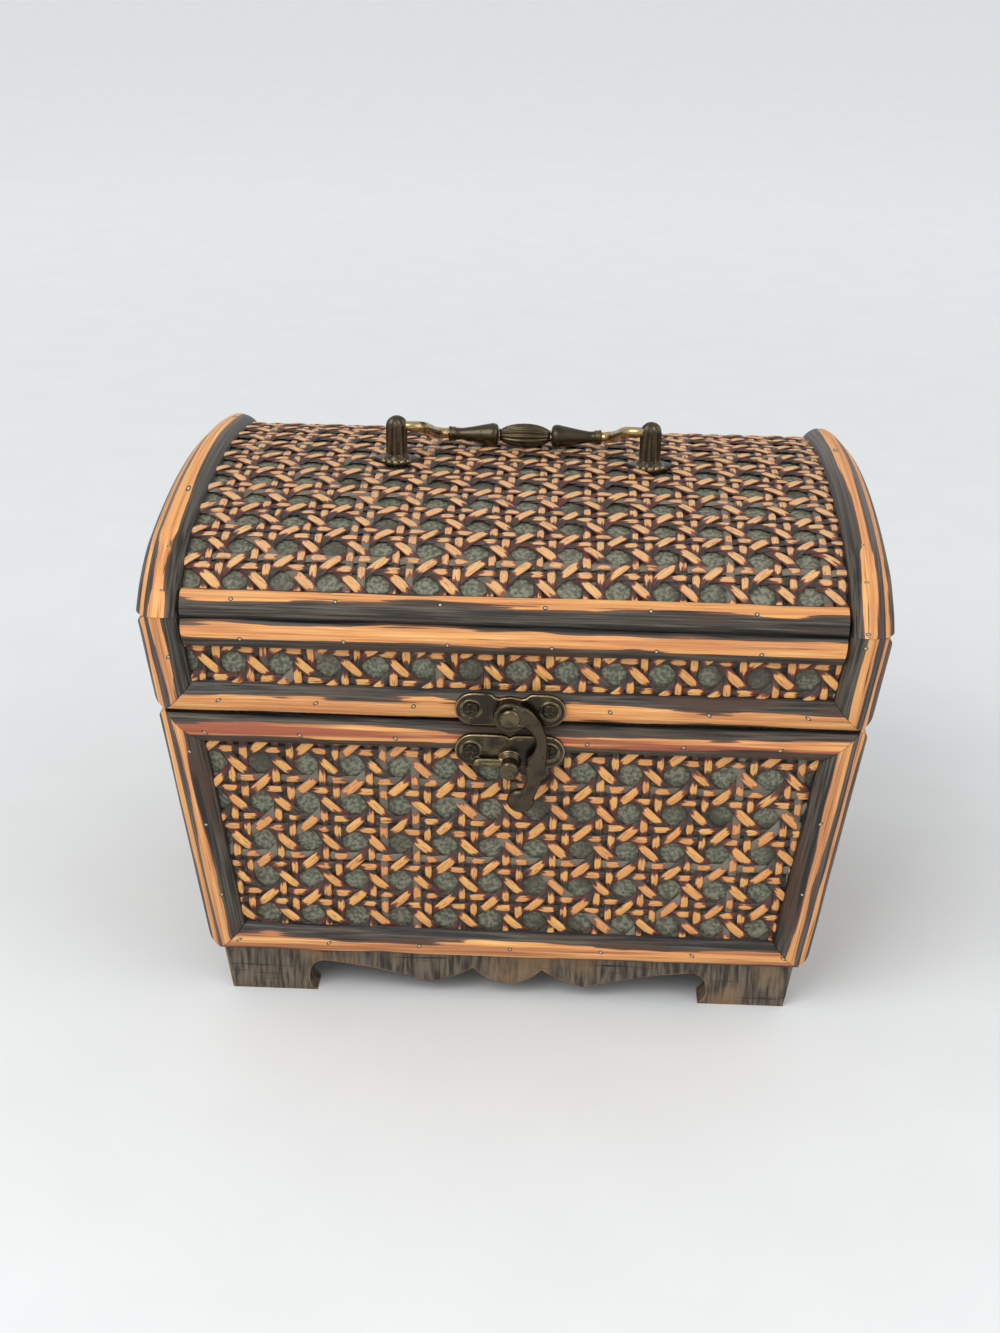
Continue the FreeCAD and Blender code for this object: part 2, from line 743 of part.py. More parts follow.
def on_hinge(make, radius, start, length):
    """Bar or bore on the hinge's axis."""
    return make(Vec(start, axis_rise, knuckle_rise), Vec(1, 0, 0), radius, length)


def hinge_leaf(way, own_knuckles, other_knuckles):
    """Leaf below (-1) or above (1) the axis with its own knuckles and room for the other leaf's."""
    leaf = Part.makeBox(leaf_width, leaf_height, leaf_thickness)
    low = axis_rise if way > 0 else axis_rise - leaf_height
    leaf.translate(Vec(-leaf_width / 2, low, 0))
    room = [on_hinge(round_bore, knuckle_radius + face_clearance, start - knuckle_gap, length + 2 * knuckle_gap)
            for start, length in other_knuckles]
    knuckles = [on_hinge(round_bar, knuckle_radius, start, length) for start, length in own_knuckles]
    leaf = leaf.cut(room).fuse(knuckles).removeSplitter()
    return leaf.cut(on_hinge(round_bore, hinge_pin_radius + pivot_clearance, -leaf_width, 2 * leaf_width))


side_knuckles = [(-leaf_width / 2, side_knuckle), (leaf_width / 2 - side_knuckle, side_knuckle)]
middle_knuckles = [(-middle_knuckle / 2, middle_knuckle)]
base_leaf = hinge_leaf(-1, side_knuckles, middle_knuckles)
lid_leaf = hinge_leaf(1, middle_knuckles, side_knuckles)
pin_shank = on_hinge(round_bar, hinge_pin_radius, -leaf_width / 2, leaf_width)
pin_heads = [on_hinge(round_bar, hinge_pin_head_radius, -leaf_width / 2 - hinge_pin_head, hinge_pin_head),
             on_hinge(round_bar, hinge_pin_head_radius, leaf_width / 2, hinge_pin_head)]
hinge_pin = pin_shank.fuse(pin_heads).removeSplitter()
screw_rise = strip_width / 2
hinge_parts = {"base_leaves": [], "lid_leaves": [], "pins": [], "base_screws": [], "lid_screws": []}
for way in (-1, 1):
    frame = shifted(hinge_frame, way * hinge_spacing / 2, 0, 0)
    screws = {}
    for body, rise in (("base", -screw_rise), ("lid", lid_gap + screw_rise)):
        screws[body] = []
        for hand in (-1, 1):
            seat = shifted(frame, hand * hinge_screw_spacing / 2, rise, leaf_thickness)
            screws[body].append(screw(seat, hinge_screw_head, hinge_screw_shank, hinge_screw_length))
        hinge_parts[f"{body}_screws"] += screws[body]
    hinge_parts["base_leaves"] += pierced(placed(base_leaf, frame), screws["base"])
    hinge_parts["lid_leaves"] += pierced(placed(lid_leaf, frame), screws["lid"])
    hinge_parts["pins"].append(placed(hinge_pin, frame))

# Bail handle. The posts stand on the crown with studs through the dome and nuts inside.
pivot_height = cane_top + bail_pivot_height
bore_radius = bail_rod_radius + pivot_clearance
handle_posts = {}
handle_nuts = []
handle_studs = []
column_height = handle_post_height - handle_post_radius
stud_length = cane_thickness + dome_board_thickness + nut_thickness + stud_overrun
nut_top = crown_centre + crown_radius - dome_board_thickness
rosette_corners = []
for end_way in (-1, 1):
    tip = Vec(end_way * rosette_length / 2, 0, 0)
    edge = Part.Arc(tip, Vec(0, -end_way * rosette_width / 2, 0), tip * -1)
    rosette_corners += edge.toShape().discretize(round_flats // 2 + 1)[:-1]
column_rings = [(handle_post_radius, 0)]
for angle in (0, 30, 60, 85):
    rise = math.radians(angle)
    ring_height = column_height + handle_post_radius * math.sin(rise)
    column_rings.append((handle_post_radius * math.cos(rise), ring_height))
for side, way in (("left", -1), ("right", 1)):
    x = way * post_spacing / 2
    foot = FreeCAD.Placement(Vec(x, 0, cane_top), FreeCAD.Rotation())
    rosette = placed(prism(rosette_corners, -rosette_thickness, rosette_thickness), foot)
    rosette = rosette.cut(dome_solid(cane_thickness, cane_reach))
    column = placed(lathe(column_rings, round_flats), foot)
    stud = placed(prism(round_corners(post_stud_radius, fastener_flats), -stud_length, rosette_thickness / 2), foot)
    bore_mouth = Vec(x - way * handle_post_radius, 0, pivot_height)
    bore = round_bore(bore_mouth, Vec(way, 0, 0), bore_radius, bail_pin_length + pivot_clearance)
    handle_posts[side] = rosette.fuse([column, stud]).removeSplitter().cut(bore).Solids[0]
    handle_studs.append(stud)
    corners = [Vec(x, 0, 0) + corner for corner in round_corners(nut_radius, fastener_flats)]
    nut = prism(corners, nut_top - nut_thickness, nut_top).common(under_dome)
    handle_nuts.append(nut.cut(stud).Solids[0])

# The bail lies back until its thickest turning rests just over the cane.
pivot_from_centre = cane_crown + bail_pivot_height
grip_from_centre = cane_crown + max(grip_radius, bead_radius) + handle_rest_gap
rest_cosine = (pivot_from_centre ** 2 + bail_reach ** 2 - grip_from_centre ** 2) / (
    2 * pivot_from_centre * bail_reach)
rest_angle = math.degrees(math.acos(rest_cosine))

turn = math.radians(bail_bend_turn)
post_inner = post_spacing / 2 - handle_post_radius
bend_start = post_inner - face_clearance
straight = (bail_reach - 2 * bail_bend_radius * (1 - math.cos(turn))) / math.sin(turn)
bend_run = 2 * bail_bend_radius * math.sin(turn) + straight * math.cos(turn)
grip_start = bend_start - bend_run


def bail_arm(way):
    """One side of the bail, from its pin in the post through two bends into the grip, lying in XY."""
    spine = [(post_inner + bail_pin_length, 0, 0)]
    angles = [turn * i / bail_bend_flats for i in range(bail_bend_flats + 1)]
    for angle in angles:
        x = bend_start - bail_bend_radius * math.sin(angle)
        spine.append((x, bail_bend_radius * (1 - math.cos(angle)), angle))
    for angle in reversed(angles):
        x = grip_start + bail_bend_radius * math.sin(angle)
        spine.append((x, bail_reach - bail_bend_radius * (1 - math.cos(angle)), angle))
    spine.append((grip_start - collar_length, bail_reach, 0))
    rings = []
    for x, y, angle in spine:
        across = Vec(way * math.sin(angle), math.cos(angle), 0)
        corners = round_corners(bail_rod_radius, round_flats)
        rings.append([Vec(way * x, y, corner.y) + across * corner.x for corner in corners])
    return solid_through(rings)


grip_tip = bead_half_length + bead_grip_gap
collar_end = grip_start - collar_length
half_rings = [
    (collar_radius * 0.8, grip_start),
    (collar_radius, grip_start - collar_length * 0.3),
    (collar_radius, grip_start - collar_length * 0.7),
    (grip_neck_radius, collar_end),
    (grip_neck_radius, collar_end - collar_length),
    (grip_radius, grip_tip + collar_length),
    (grip_radius * 0.93, grip_tip + collar_length * 0.4),
    (bead_neck_radius, grip_tip),
]
bead_curve = (bead_half_length ** 2 + bead_radius ** 2) / (2 * bead_radius)
for share in (0.68, 0.45, 0.22):
    x = bead_half_length * share
    half_rings.append((math.sqrt(bead_curve ** 2 - x ** 2) - bead_curve + bead_radius, x))
grip_rings = [(radius, -x) for radius, x in half_rings] + [(bead_radius, 0)] + half_rings[::-1]
grip_place = FreeCAD.Placement(Vec(0, bail_reach, 0), FreeCAD.Rotation(up, Vec(1, 0, 0)))
grip = placed(lathe(grip_rings, round_flats), grip_place)
bail = grip.fuse([bail_arm(-1), bail_arm(1)]).removeSplitter()
bail_drop = FreeCAD.Placement(Vec(0, 0, pivot_height), FreeCAD.Rotation(Vec(1, 0, 0), rest_angle - 90))
bail = placed(bail, bail_drop)

# Holes for the fasteners in what they pass through.
front_base_screws = keeper_screws
back_base_screws = hinge_parts["base_screws"]
base_boards["front"] = pierced(base_boards["front"], front_base_screws)[0]
base_boards["back"] = pierced(base_boards["back"], back_base_screws)[0]
base_cane["front"] = pierced(base_cane["front"], front_base_screws)[0]
base_cane["back"] = pierced(base_cane["back"], back_base_screws)[0]
base_strips["front"][2] = pierced(base_strips["front"][2], front_base_screws)[0]
base_strips["back"][2] = pierced(base_strips["back"][2], back_base_screws)[0]
for side, screws in (("front", hook_plate_screws), ("back", hinge_parts["lid_screws"])):
    lid_rails[side] = pierced(lid_rails[side], screws)[0]
    lid_cane[side] = pierced(lid_cane[side], screws)[0]
    lid_strips[side]["bottom"] = pierced(lid_strips[side]["bottom"], screws)[0]
dome_board = pierced(dome_board, handle_studs)[0]
dome_cane = pierced(dome_cane, handle_studs)[0]

for side in ("front", "back", "left", "right"):
    write(f"base_{side}_board", base_boards[side])
    write(f"plinth_{side}", plinth_boards[side])
    write(f"base_{side}_cane", base_cane[side])
    write(f"lid_{side}_rail", lid_rails[side])
bottom, right, top, left = base_strips["front"]
write("base_front_rail_strips", Part.makeCompound([bottom, top]))
write("base_front_stile_strips", Part.makeCompound([left, right]))
for side in ("back", "left", "right"):
    write(f"base_{side}_strips", Part.makeCompound(base_strips[side]))
write("floor_board", floor_board)
for side in ("left", "right"):
    write(f"lid_{side}_cane", Part.makeCompound([lid_cane[side], lunette_cane[side]]))
    write(f"lid_{side}_strips", Part.makeCompound(lid_strips[side]))
    write(f"{side}_arch_strip", arch_strips[side])
    write(f"{side}_end_arch_strip", end_arches[side])
for side in ("front", "back"):
    write(f"lid_{side}_cane", lid_cane[side])
    write(f"lid_{side}_bottom_strip", lid_strips[side]["bottom"])
    write(f"lid_{side}_stile_strips", Part.makeCompound(lid_strips[side]["stiles"]))
    write(f"{side}_ridge_lower_strip", lid_strips[side]["ridge"])
    write(f"{side}_ridge_upper_strip", lid_strips[side]["dome"])
write("left_lunette_board", left_lunette)
write("right_lunette_board", right_lunette)
write("dome_board", dome_board)
write("dome_cane", dome_cane)
write("latch_hook_plate", hook_plate)
write("latch_hook", latch_hook)
write("latch_rivet", hook_rivet)
write("latch_keeper", latch_keeper)
write("hook_plate_screws", Part.makeCompound(hook_plate_screws))
write("keeper_screws", Part.makeCompound(keeper_screws))
write("hinge_base_leaves", Part.makeCompound(hinge_parts["base_leaves"]))
write("hinge_lid_leaves", Part.makeCompound(hinge_parts["lid_leaves"]))
write("hinge_pins", Part.makeCompound(hinge_parts["pins"]))
write("hinge_base_screws", Part.makeCompound(hinge_parts["base_screws"]))
write("hinge_lid_screws", Part.makeCompound(hinge_parts["lid_screws"]))
write("left_handle_post", handle_posts["left"])
write("right_handle_post", handle_posts["right"])
write("handle_nuts", Part.makeCompound(handle_nuts))
write("handle_bail", bail)

hinge_axis = hinge_frame.multVec(Vec(0, axis_rise, knuckle_rise))
hook_pivot = pivot_frame.multVec(Vec(0, 0, hook_low))
print("lid hinge axis through", hinge_axis)
print("hook pivot at", hook_pivot, "about", latch_frame.Rotation.multVec(Vec(0, 0, 1)))
print("bail pivot height", pivot_height, "swing", 360 - 2 * rest_angle)
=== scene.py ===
import json
import math
import random
from functools import partial

import bmesh
import bpy
import numpy as np
from mathutils import Matrix, Vector


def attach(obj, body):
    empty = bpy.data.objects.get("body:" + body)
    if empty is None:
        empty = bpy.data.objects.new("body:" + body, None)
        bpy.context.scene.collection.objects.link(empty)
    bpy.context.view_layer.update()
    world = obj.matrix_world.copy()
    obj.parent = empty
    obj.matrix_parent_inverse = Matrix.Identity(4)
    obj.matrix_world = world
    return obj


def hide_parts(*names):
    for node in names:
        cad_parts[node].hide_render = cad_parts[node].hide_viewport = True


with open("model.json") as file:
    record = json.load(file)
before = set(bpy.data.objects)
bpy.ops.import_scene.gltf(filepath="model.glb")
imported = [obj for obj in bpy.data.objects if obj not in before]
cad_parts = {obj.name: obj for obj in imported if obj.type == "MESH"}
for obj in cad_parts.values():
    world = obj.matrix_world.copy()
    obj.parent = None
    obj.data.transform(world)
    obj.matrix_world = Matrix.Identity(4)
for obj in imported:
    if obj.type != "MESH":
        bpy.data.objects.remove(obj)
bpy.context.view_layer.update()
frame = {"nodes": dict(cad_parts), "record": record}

mm = 0.001
print("frame loaded")

# The carcass in millimetres, as its boards are cut.
carcass = {
    "ridgeWidth": 192.0,
    "ridgeDepth": 146.0,
    "sideLean": math.radians(7.0),
    "frontLean": math.radians(5.5),
    "plinthHeight": 15.5,
    "partingHeight": 95.0,
    "ridgeHeight": 123.5,
    "lidGap": 0.3,
    "domeRise": 19.5,
    "crownRadius": 235.0,
    "crownHalfDepth": 50.0,
}
caneThickness = 1.2
lidLow = carcass["partingHeight"] + carcass["lidGap"]
longSides, shortSides = ("front", "back"), ("left", "right")


def halfWidth(height):
    return carcass["ridgeWidth"] / 2 - math.tan(carcass["sideLean"]) * (carcass["ridgeHeight"] - height)


def halfDepth(height):
    return carcass["ridgeDepth"] / 2 - math.tan(carcass["frontLean"]) * (carcass["ridgeHeight"] - height)


def faceFrame(side, low, outside):
    # origin at the foot of the face, then its run, its slope and its outward normal
    lean = carcass["frontLean"] if side in longSides else carcass["sideLean"]
    s, c = math.sin(lean), math.cos(lean)
    origin, run, slope = {
        "front": ((0, -halfDepth(low) - outside, low), (1, 0, 0), (0, -s, c)),
        "back": ((0, halfDepth(low) + outside, low), (-1, 0, 0), (0, s, c)),
        "right": ((halfWidth(low) + outside, 0, low), (0, 1, 0), (s, 0, c)),
        "left": ((-halfWidth(low) - outside, 0, low), (0, -1, 0), (-s, 0, c)),
    }[side]
    run, slope = np.array(run, float), np.array(slope, float)
    return np.array(origin, float), run, slope, np.cross(run, slope)


def faceOutline(side, low, high):
    across = halfWidth if side in longSides else halfDepth
    lean = carcass["frontLean"] if side in longSides else carcass["sideLean"]
    lower = across(low) + caneThickness
    upper = across(high) + caneThickness
    length = (high - low) / math.cos(lean)
    return np.array([(-lower, 0), (lower, 0), (upper, length), (-upper, length)])


# The dome's profile: a crown arc between two shoulder arcs.
crownAngle = math.asin(carcass["crownHalfDepth"] / carcass["crownRadius"])
crownTop = carcass["ridgeHeight"] + carcass["domeRise"]
crownCentre = crownTop - carcass["crownRadius"]
jointY = carcass["ridgeDepth"] / 2 - carcass["crownHalfDepth"]
jointDrop = carcass["crownRadius"] * (1 - math.cos(crownAngle))
jointZ = jointDrop - carcass["domeRise"]
shoulderRadius = -(jointY ** 2 + jointZ ** 2) / (2 * (jointY * math.sin(crownAngle) + jointZ * math.cos(crownAngle)))
shoulderY = carcass["crownHalfDepth"] - shoulderRadius * math.sin(crownAngle)
shoulderZ = crownTop - jointDrop - shoulderRadius * math.cos(crownAngle)


def ridgeAngle(offset):
    return math.acos((carcass["ridgeHeight"] - shoulderZ) / (shoulderRadius + offset))


def domePoint(angle, offset):
    if abs(angle) <= crownAngle:
        radius = carcass["crownRadius"] + offset
        return np.array([0, radius * math.sin(angle), crownCentre + radius * math.cos(angle)])
    radius = shoulderRadius + offset
    y = math.copysign(shoulderY, angle) + radius * math.sin(angle)
    return np.array([0, y, shoulderZ + radius * math.cos(angle)])


def domeAngle(arc):
    # angle of the normal at a length along the cane from the front ridge
    radius = shoulderRadius + caneThickness
    end = ridgeAngle(caneThickness)
    shoulderRun = radius * (end - crownAngle)
    crownRun = 2 * (carcass["crownRadius"] + caneThickness) * crownAngle
    if arc < shoulderRun:
        return arc / radius - end
    if arc < shoulderRun + crownRun:
        return (arc - shoulderRun) / (carcass["crownRadius"] + caneThickness) - crownAngle
    return crownAngle + (arc - shoulderRun - crownRun) / radius


domeArc = 2 * (shoulderRadius + caneThickness) * (ridgeAngle(caneThickness) - crownAngle)
domeArc += 2 * (carcass["crownRadius"] + caneThickness) * crownAngle


# Mesh making. A pile of closed tubes becomes one object with its grain directions as attributes.
def newPile():
    return {"verts": [], "faces": [], "grain": [], "lift": [], "finish": [], "count": 0}


def addTube(pile, rings, grain, lift, finish):
    # rings is stations by points round, in millimetres; grain is (along, across, tone) for each vertex
    stations, around = rings.shape[:2]
    start = pile["count"]
    pile["verts"].append(rings.reshape(-1, 3) * mm)
    pile["grain"].append(grain.reshape(-1, 3))
    pile["lift"].append(lift.reshape(-1))
    pile["finish"].append(np.tile(finish, (stations * around, 1)))
    i = np.arange(stations - 1)[:, None] * around
    j = np.arange(around)[None, :]
    k = (j + 1) % around
    quads = np.stack([i + j, i + k, i + around + k, i + around + j], axis=-1).reshape(-1, 4) + start
    pile["faces"] += quads.tolist()
    pile["faces"].append([start + n for n in range(around)][::-1])
    pile["faces"].append([start + (stations - 1) * around + n for n in range(around)])
    pile["count"] += stations * around


def placePiece(name, mesh, sharp, finish, body, nodes):
    # sharp is the angle in degrees from which an edge stays hard
    mesh.shade_smooth()
    mesh.set_sharp_from_angle(angle=math.radians(sharp))
    piece = bpy.data.objects.new(name, mesh)
    bpy.context.scene.collection.objects.link(piece)
    mesh.materials.append(finish)
    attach(piece, body)
    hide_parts(*nodes)


def pileObject(name, pile, finish, body, nodes):
    mesh = bpy.data.meshes.new(name)
    mesh.from_pydata(np.concatenate(pile["verts"]).tolist(), [], pile["faces"])
    for label, kind, values in (
            ("grain", "FLOAT_VECTOR", np.concatenate(pile["grain"])),
            ("finish", "FLOAT_VECTOR", np.concatenate(pile["finish"]))):
        layer = mesh.attributes.new(label, kind, "POINT")
        layer.data.foreach_set("vector", values.astype(np.float32).ravel())
    layer = mesh.attributes.new("lift", "FLOAT", "POINT")
    layer.data.foreach_set("value", np.concatenate(pile["lift"]).astype(np.float32))
    mesh.validate()
    placePiece(name, mesh, 50, finish, body, nodes)


# Node helpers for the finishes.
def newMaterial(name):
    material = bpy.data.materials.new(name)
    material.use_nodes = True
    material.node_tree.nodes.clear()
    return material


def addNode(tree, kind, inputs=None, **settings):
    node = tree.nodes.new(kind)
    for key, value in settings.items():
        setattr(node, key, value)
    for key, value in (inputs or {}).items():
        if isinstance(value, bpy.types.NodeSocket):
            tree.links.new(value, node.inputs[key])
        else:
            node.inputs[key].default_value = value
    return node


def mathNode(operation, *values, clamp=False):
    # the tree is the one that the first linked value belongs to
    tree = next(value.id_data for value in values if isinstance(value, bpy.types.NodeSocket))
    return addNode(tree, "ShaderNodeMath", dict(enumerate(values)), operation=operation, use_clamp=clamp).outputs[0]


plus, minus, times, divide = (partial(mathNode, name) for name in ("ADD", "SUBTRACT", "MULTIPLY", "DIVIDE"))


def spread(value, width):
    # a 0 to 1 value centred on 0
    return times(minus(value, 0.5), width)


def mixColour(factor, first, second):
    return addNode(factor.id_data, "ShaderNodeMix", {0: factor, 6: first, 7: second}, data_type="RGBA").outputs[2]


def stepNode(value, low, high):
    inputs = {"Value": value, "From Min": low, "From Max": high}
    return addNode(value.id_data, "ShaderNodeMapRange", inputs, interpolation_type="SMOOTHSTEP").outputs["Result"]


def noiseNode(vector, scale, detail):
    inputs = {"Vector": vector, "Scale": scale, "Detail": detail}
    return addNode(vector.id_data, "ShaderNodeTexNoise", inputs).outputs["Fac"]


def fibreNode(vector, scale, detail):
    # noise drawn out along an axis
    stretch = addNode(vector.id_data, "ShaderNodeMapping", {"Vector": vector, "Scale": scale})
    return noiseNode(stretch.outputs[0], 1.0, detail)


def newGroup(name, inputs, outputs):
    group = bpy.data.node_groups.new(name, "ShaderNodeTree")
    for label, kind, value in inputs:
        socket = group.interface.new_socket(label, in_out="INPUT", socket_type=kind)
        if value is not None:
            socket.default_value = value
    for label, kind in outputs:
        group.interface.new_socket(label, in_out="OUTPUT", socket_type=kind)
    return group, group.nodes.new("NodeGroupInput"), group.nodes.new("NodeGroupOutput")


def placeGroup(tree, group, inputs):
    return addNode(tree, "ShaderNodeGroup", inputs, node_tree=group).outputs


def rgb(red, green, blue):
    # a colour as it looks on screen, 0 to 255, made linear
    linear = [(c / 255 / 12.92) if c <= 10 else ((c / 255 + 0.055) / 1.055) ** 2.4 for c in (red, green, blue)]
    return (*linear, 1.0)


def makeStreaks():
    # fibres that run along the grain: fine lines, broad bands and blotches
    group, source, result = newGroup(
        "grainStreaks",
        [("Vector", "NodeSocketVector", None), ("Fine", "NodeSocketFloat", 900.0), ("Stretch", "NodeSocketFloat", 0.05)],
        [("Fine", "NodeSocketFloat"), ("Broad", "NodeSocketFloat"), ("Blotch", "NodeSocketFloat")])
    parts = addNode(group, "ShaderNodeSeparateXYZ", {0: source.outputs["Vector"]})
    tone = times(parts.outputs["Z"], 37.0)
    for label, across, along, detail in (("Fine", 9.0, 1.0, 4.0), ("Broad", 2.4, 0.35, 3.0), ("Blotch", 0.7, 0.6, 2.0)):
        x = times(times(times(parts.outputs["X"], source.outputs["Fine"]), source.outputs["Stretch"]), along)
        y = times(parts.outputs["Y"], across)
        where = addNode(group, "ShaderNodeCombineXYZ", {0: x, 1: y, 2: tone})
        group.links.new(noiseNode(where.outputs[0], 1.0, detail), result.inputs[label])
    return group


def makeEdgeWear():
    # 1 on outside edges, broken up by noise
    group, source, result = newGroup(
        "edgeWear",
        [("Radius", "NodeSocketFloat", 0.0008), ("Noise Scale", "NodeSocketFloat", 300.0)],
        [("Mask", "NodeSocketFloat"), ("Normal", "NodeSocketVector")])
    bevel = addNode(group, "ShaderNodeBevel", {"Radius": source.outputs["Radius"]}, samples=6)
    place = addNode(group, "ShaderNodeNewGeometry")
    facing = addNode(group, "ShaderNodeVectorMath", {0: bevel.outputs[0], 1: place.outputs["Normal"]},
                     operation="DOT_PRODUCT")
    edge = minus(1.0, facing.outputs["Value"])
    where = addNode(group, "ShaderNodeTexCoord")
    noise = noiseNode(where.outputs["Object"], source.outputs["Noise Scale"], 3.0)
    broken = times(edge, stepNode(noise, 0.35, 0.6))
    group.links.new(stepNode(broken, 0.01, 0.12), result.inputs["Mask"])
    group.links.new(bevel.outputs[0], result.inputs["Normal"])
    return group


streaks = makeStreaks()
edgeWear = makeEdgeWear()


def closeMaterial(material, colour, roughness, height=None, distance=0.0003, normal=None, metallic=0.0):
    tree = material.node_tree
    look = {"Base Color": colour, "Roughness": roughness, "Metallic": metallic}
    shader = addNode(tree, "ShaderNodeBsdfPrincipled", look)
    if height is not None:
        bump = addNode(tree, "ShaderNodeBump", {"Height": height, "Distance": distance, "Strength": 1.0})
        if normal is not None:
            tree.links.new(normal, bump.inputs["Normal"])
        normal = bump.outputs["Normal"]
    if normal is not None:
        tree.links.new(normal, shader.inputs["Normal"])
    output = addNode(tree, "ShaderNodeOutputMaterial")
    tree.links.new(shader.outputs[0], output.inputs[0])
    return material


def readGrain(tree):
    grain = addNode(tree, "ShaderNodeAttribute", attribute_name="grain")
    parts = addNode(tree, "ShaderNodeSeparateXYZ", {0: grain.outputs["Vector"]})
    return grain.outputs["Vector"], parts.outputs


def makeCaneFinish():
    # scorched strands whose raised crossings are sanded back to pale cane
    material = newMaterial("scorchedCane")
    tree = material.node_tree
    grain, parts = readGrain(tree)
    lift = addNode(tree, "ShaderNodeAttribute", attribute_name="lift").outputs["Fac"]
    fine, broad, blotch = placeGroup(tree, streaks, {"Vector": grain, "Fine": 2600.0, "Stretch": 0.12})
    tone = mathNode("FRACT", times(parts["Z"], 7.3))
    side = mathNode("POWER", mathNode("ABSOLUTE", parts["Y"]), 7.0)
    high = minus(lift, times(side, 0.5))
    high = plus(high, plus(spread(broad, 0.40), spread(blotch, 0.62)))
    sanded = stepNode(high, 0.655, 0.69)
    rim = stepNode(high, 0.55, 0.64)
    dark = mixColour(stepNode(fine, 0.42, 0.62), rgb(26, 20, 17), rgb(84, 70, 60))
    dark = mixColour(stepNode(blotch, 0.48, 0.60), dark, rgb(88, 40, 30))
    dark = mixColour(stepNode(tone, 0.80, 0.90), dark, rgb(116, 110, 96))
    red = mixColour(broad, rgb(112, 46, 34), rgb(168, 88, 52))
    pale = mixColour(tone, rgb(236, 176, 98), rgb(226, 154, 90))
    # painted sheen: up-facing cane turns paler and less orange, as the top of the dome catches the light
    normal = addNode(tree, "ShaderNodeTexCoord").outputs["Normal"]
    up = addNode(tree, "ShaderNodeSeparateXYZ", {0: normal}).outputs["Z"]
    paintedTopSheen = times(stepNode(up, 0.45, 0.85), 0.6)
    pale = mixColour(paintedTopSheen, pale, rgb(220, 176, 130))
    pale = mixColour(stepNode(fine, 0.58, 0.74), pale, rgb(246, 208, 150))
    pale = mixColour(stepNode(fine, 0.42, 0.32), pale, rgb(120, 72, 44))
    colour = mixColour(rim, dark, red)
    colour = mixColour(sanded, colour, pale)
    roughness = plus(0.42, times(sanded, 0.18))
    return closeMaterial(material, colour, roughness, fine, 0.00025)


def makeStripFinish():
    # split bamboo: charred sides, a sanded orange band along the crest
    material = newMaterial("scorchedBamboo")
    tree = material.node_tree
    grain, parts = readGrain(tree)
    finish = addNode(tree, "ShaderNodeAttribute", attribute_name="finish")
    band = addNode(tree, "ShaderNodeSeparateXYZ", {0: finish.outputs["Vector"]}).outputs
    fine, broad, blotch = placeGroup(tree, streaks, {"Vector": grain, "Fine": 900.0, "Stretch": 0.045})
    wander, ragged, fray = spread(blotch, 2.8), spread(broad, 1.3), spread(fine, 0.9)
    away = divide(mathNode("ABSOLUTE", minus(parts["Y"], band["X"])), band["Y"])
    away = plus(away, plus(wander, plus(ragged, fray)))
    sanded = stepNode(away, 1.05, 0.97)
    rim = stepNode(away, 1.35, 1.05)
    dark = mixColour(stepNode(fine, 0.38, 0.66), rgb(28, 24, 19), rgb(90, 82, 68))
    dark = mixColour(stepNode(blotch, 0.52, 0.68), dark, rgb(72, 50, 35))
    dark = mixColour(stepNode(broad, 0.58, 0.68), dark, rgb(20, 17, 14))
    # painted shade: both edges of every strip go near black, as in the crease where the round meets the face and in the
    # parting gap
    dark = mixColour(stepNode(mathNode("ABSOLUTE", parts["Y"]), 0.84, 0.95), dark, rgb(16, 13, 11))
    warm = mixColour(blotch, rgb(236, 176, 98), rgb(224, 140, 88))
    warm = mixColour(stepNode(fine, 0.50, 0.72), warm, rgb(244, 196, 128))
    warm = mixColour(stepNode(fine, 0.44, 0.26), warm, rgb(170, 108, 58))
    flush = times(stepNode(broad, 0.42, 0.58), band["Z"])
    warm = mixColour(flush, warm, rgb(150, 72, 52))
    edge = mixColour(fine, rgb(66, 44, 34), rgb(112, 78, 54))
    colour = mixColour(rim, dark, edge)
    colour = mixColour(sanded, colour, warm)
    crack = stepNode(fine, 0.33, 0.25)
    colour = mixColour(times(crack, 0.85), colour, rgb(20, 15, 13))
    # brads at even steps along the strip, each a small bright head in a dark dimple
    bradStep, bradLine, halfStrip = 27.5, 0.05, 4.6
    share = mathNode("FRACT", plus(divide(parts["X"], bradStep * mm), parts["Z"]))
    along, aside = spread(share, bradStep), times(minus(parts["Y"], bradLine), halfStrip)
    reach = mathNode("SQRT", plus(times(along, along), times(aside, aside)))
    colour = mixColour(stepNode(reach, 0.75, 0.55), colour, rgb(30, 22, 17))
    colour = mixColour(stepNode(reach, 0.42, 0.30), colour, rgb(196, 180, 150))
    roughness = plus(0.42, times(sanded, 0.14))
    return closeMaterial(material, colour, roughness, fine, 0.0005)


def makeBoardFinish():
    # grey-green stained board outside, brown inside the box
    material = newMaterial("stainedBoard")
    tree = material.node_tree
    where = addNode(tree, "ShaderNodeTexCoord").outputs
    mottle, cloud = noiseNode(where["Object"], 950.0, 5.0), noiseNode(where["Object"], 40.0, 2.0)
    fibre = fibreNode(where["Object"], (18.0, 400.0, 400.0), 4.0)
    outside = mixColour(stepNode(mottle, 0.38, 0.64), rgb(84, 86, 70), rgb(134, 134, 114))
    outside = mixColour(stepNode(cloud, 0.5, 0.7), outside, rgb(66, 60, 48))
    inside = mixColour(stepNode(fibre, 0.3, 0.7), rgb(48, 32, 22), rgb(92, 64, 42))
    centre = addNode(tree, "ShaderNodeVectorMath", {0: where["Object"], 1: (0.0, 0.0, 0.1)}, operation="SUBTRACT")
    facing = addNode(tree, "ShaderNodeVectorMath", {0: centre.outputs[0], 1: where["Normal"]},
                     operation="DOT_PRODUCT")
    outer = stepNode(facing.outputs["Value"], 0.006, 0.012)
    return closeMaterial(material, mixColour(outer, inside, outside), 0.72, mottle, 0.0002)


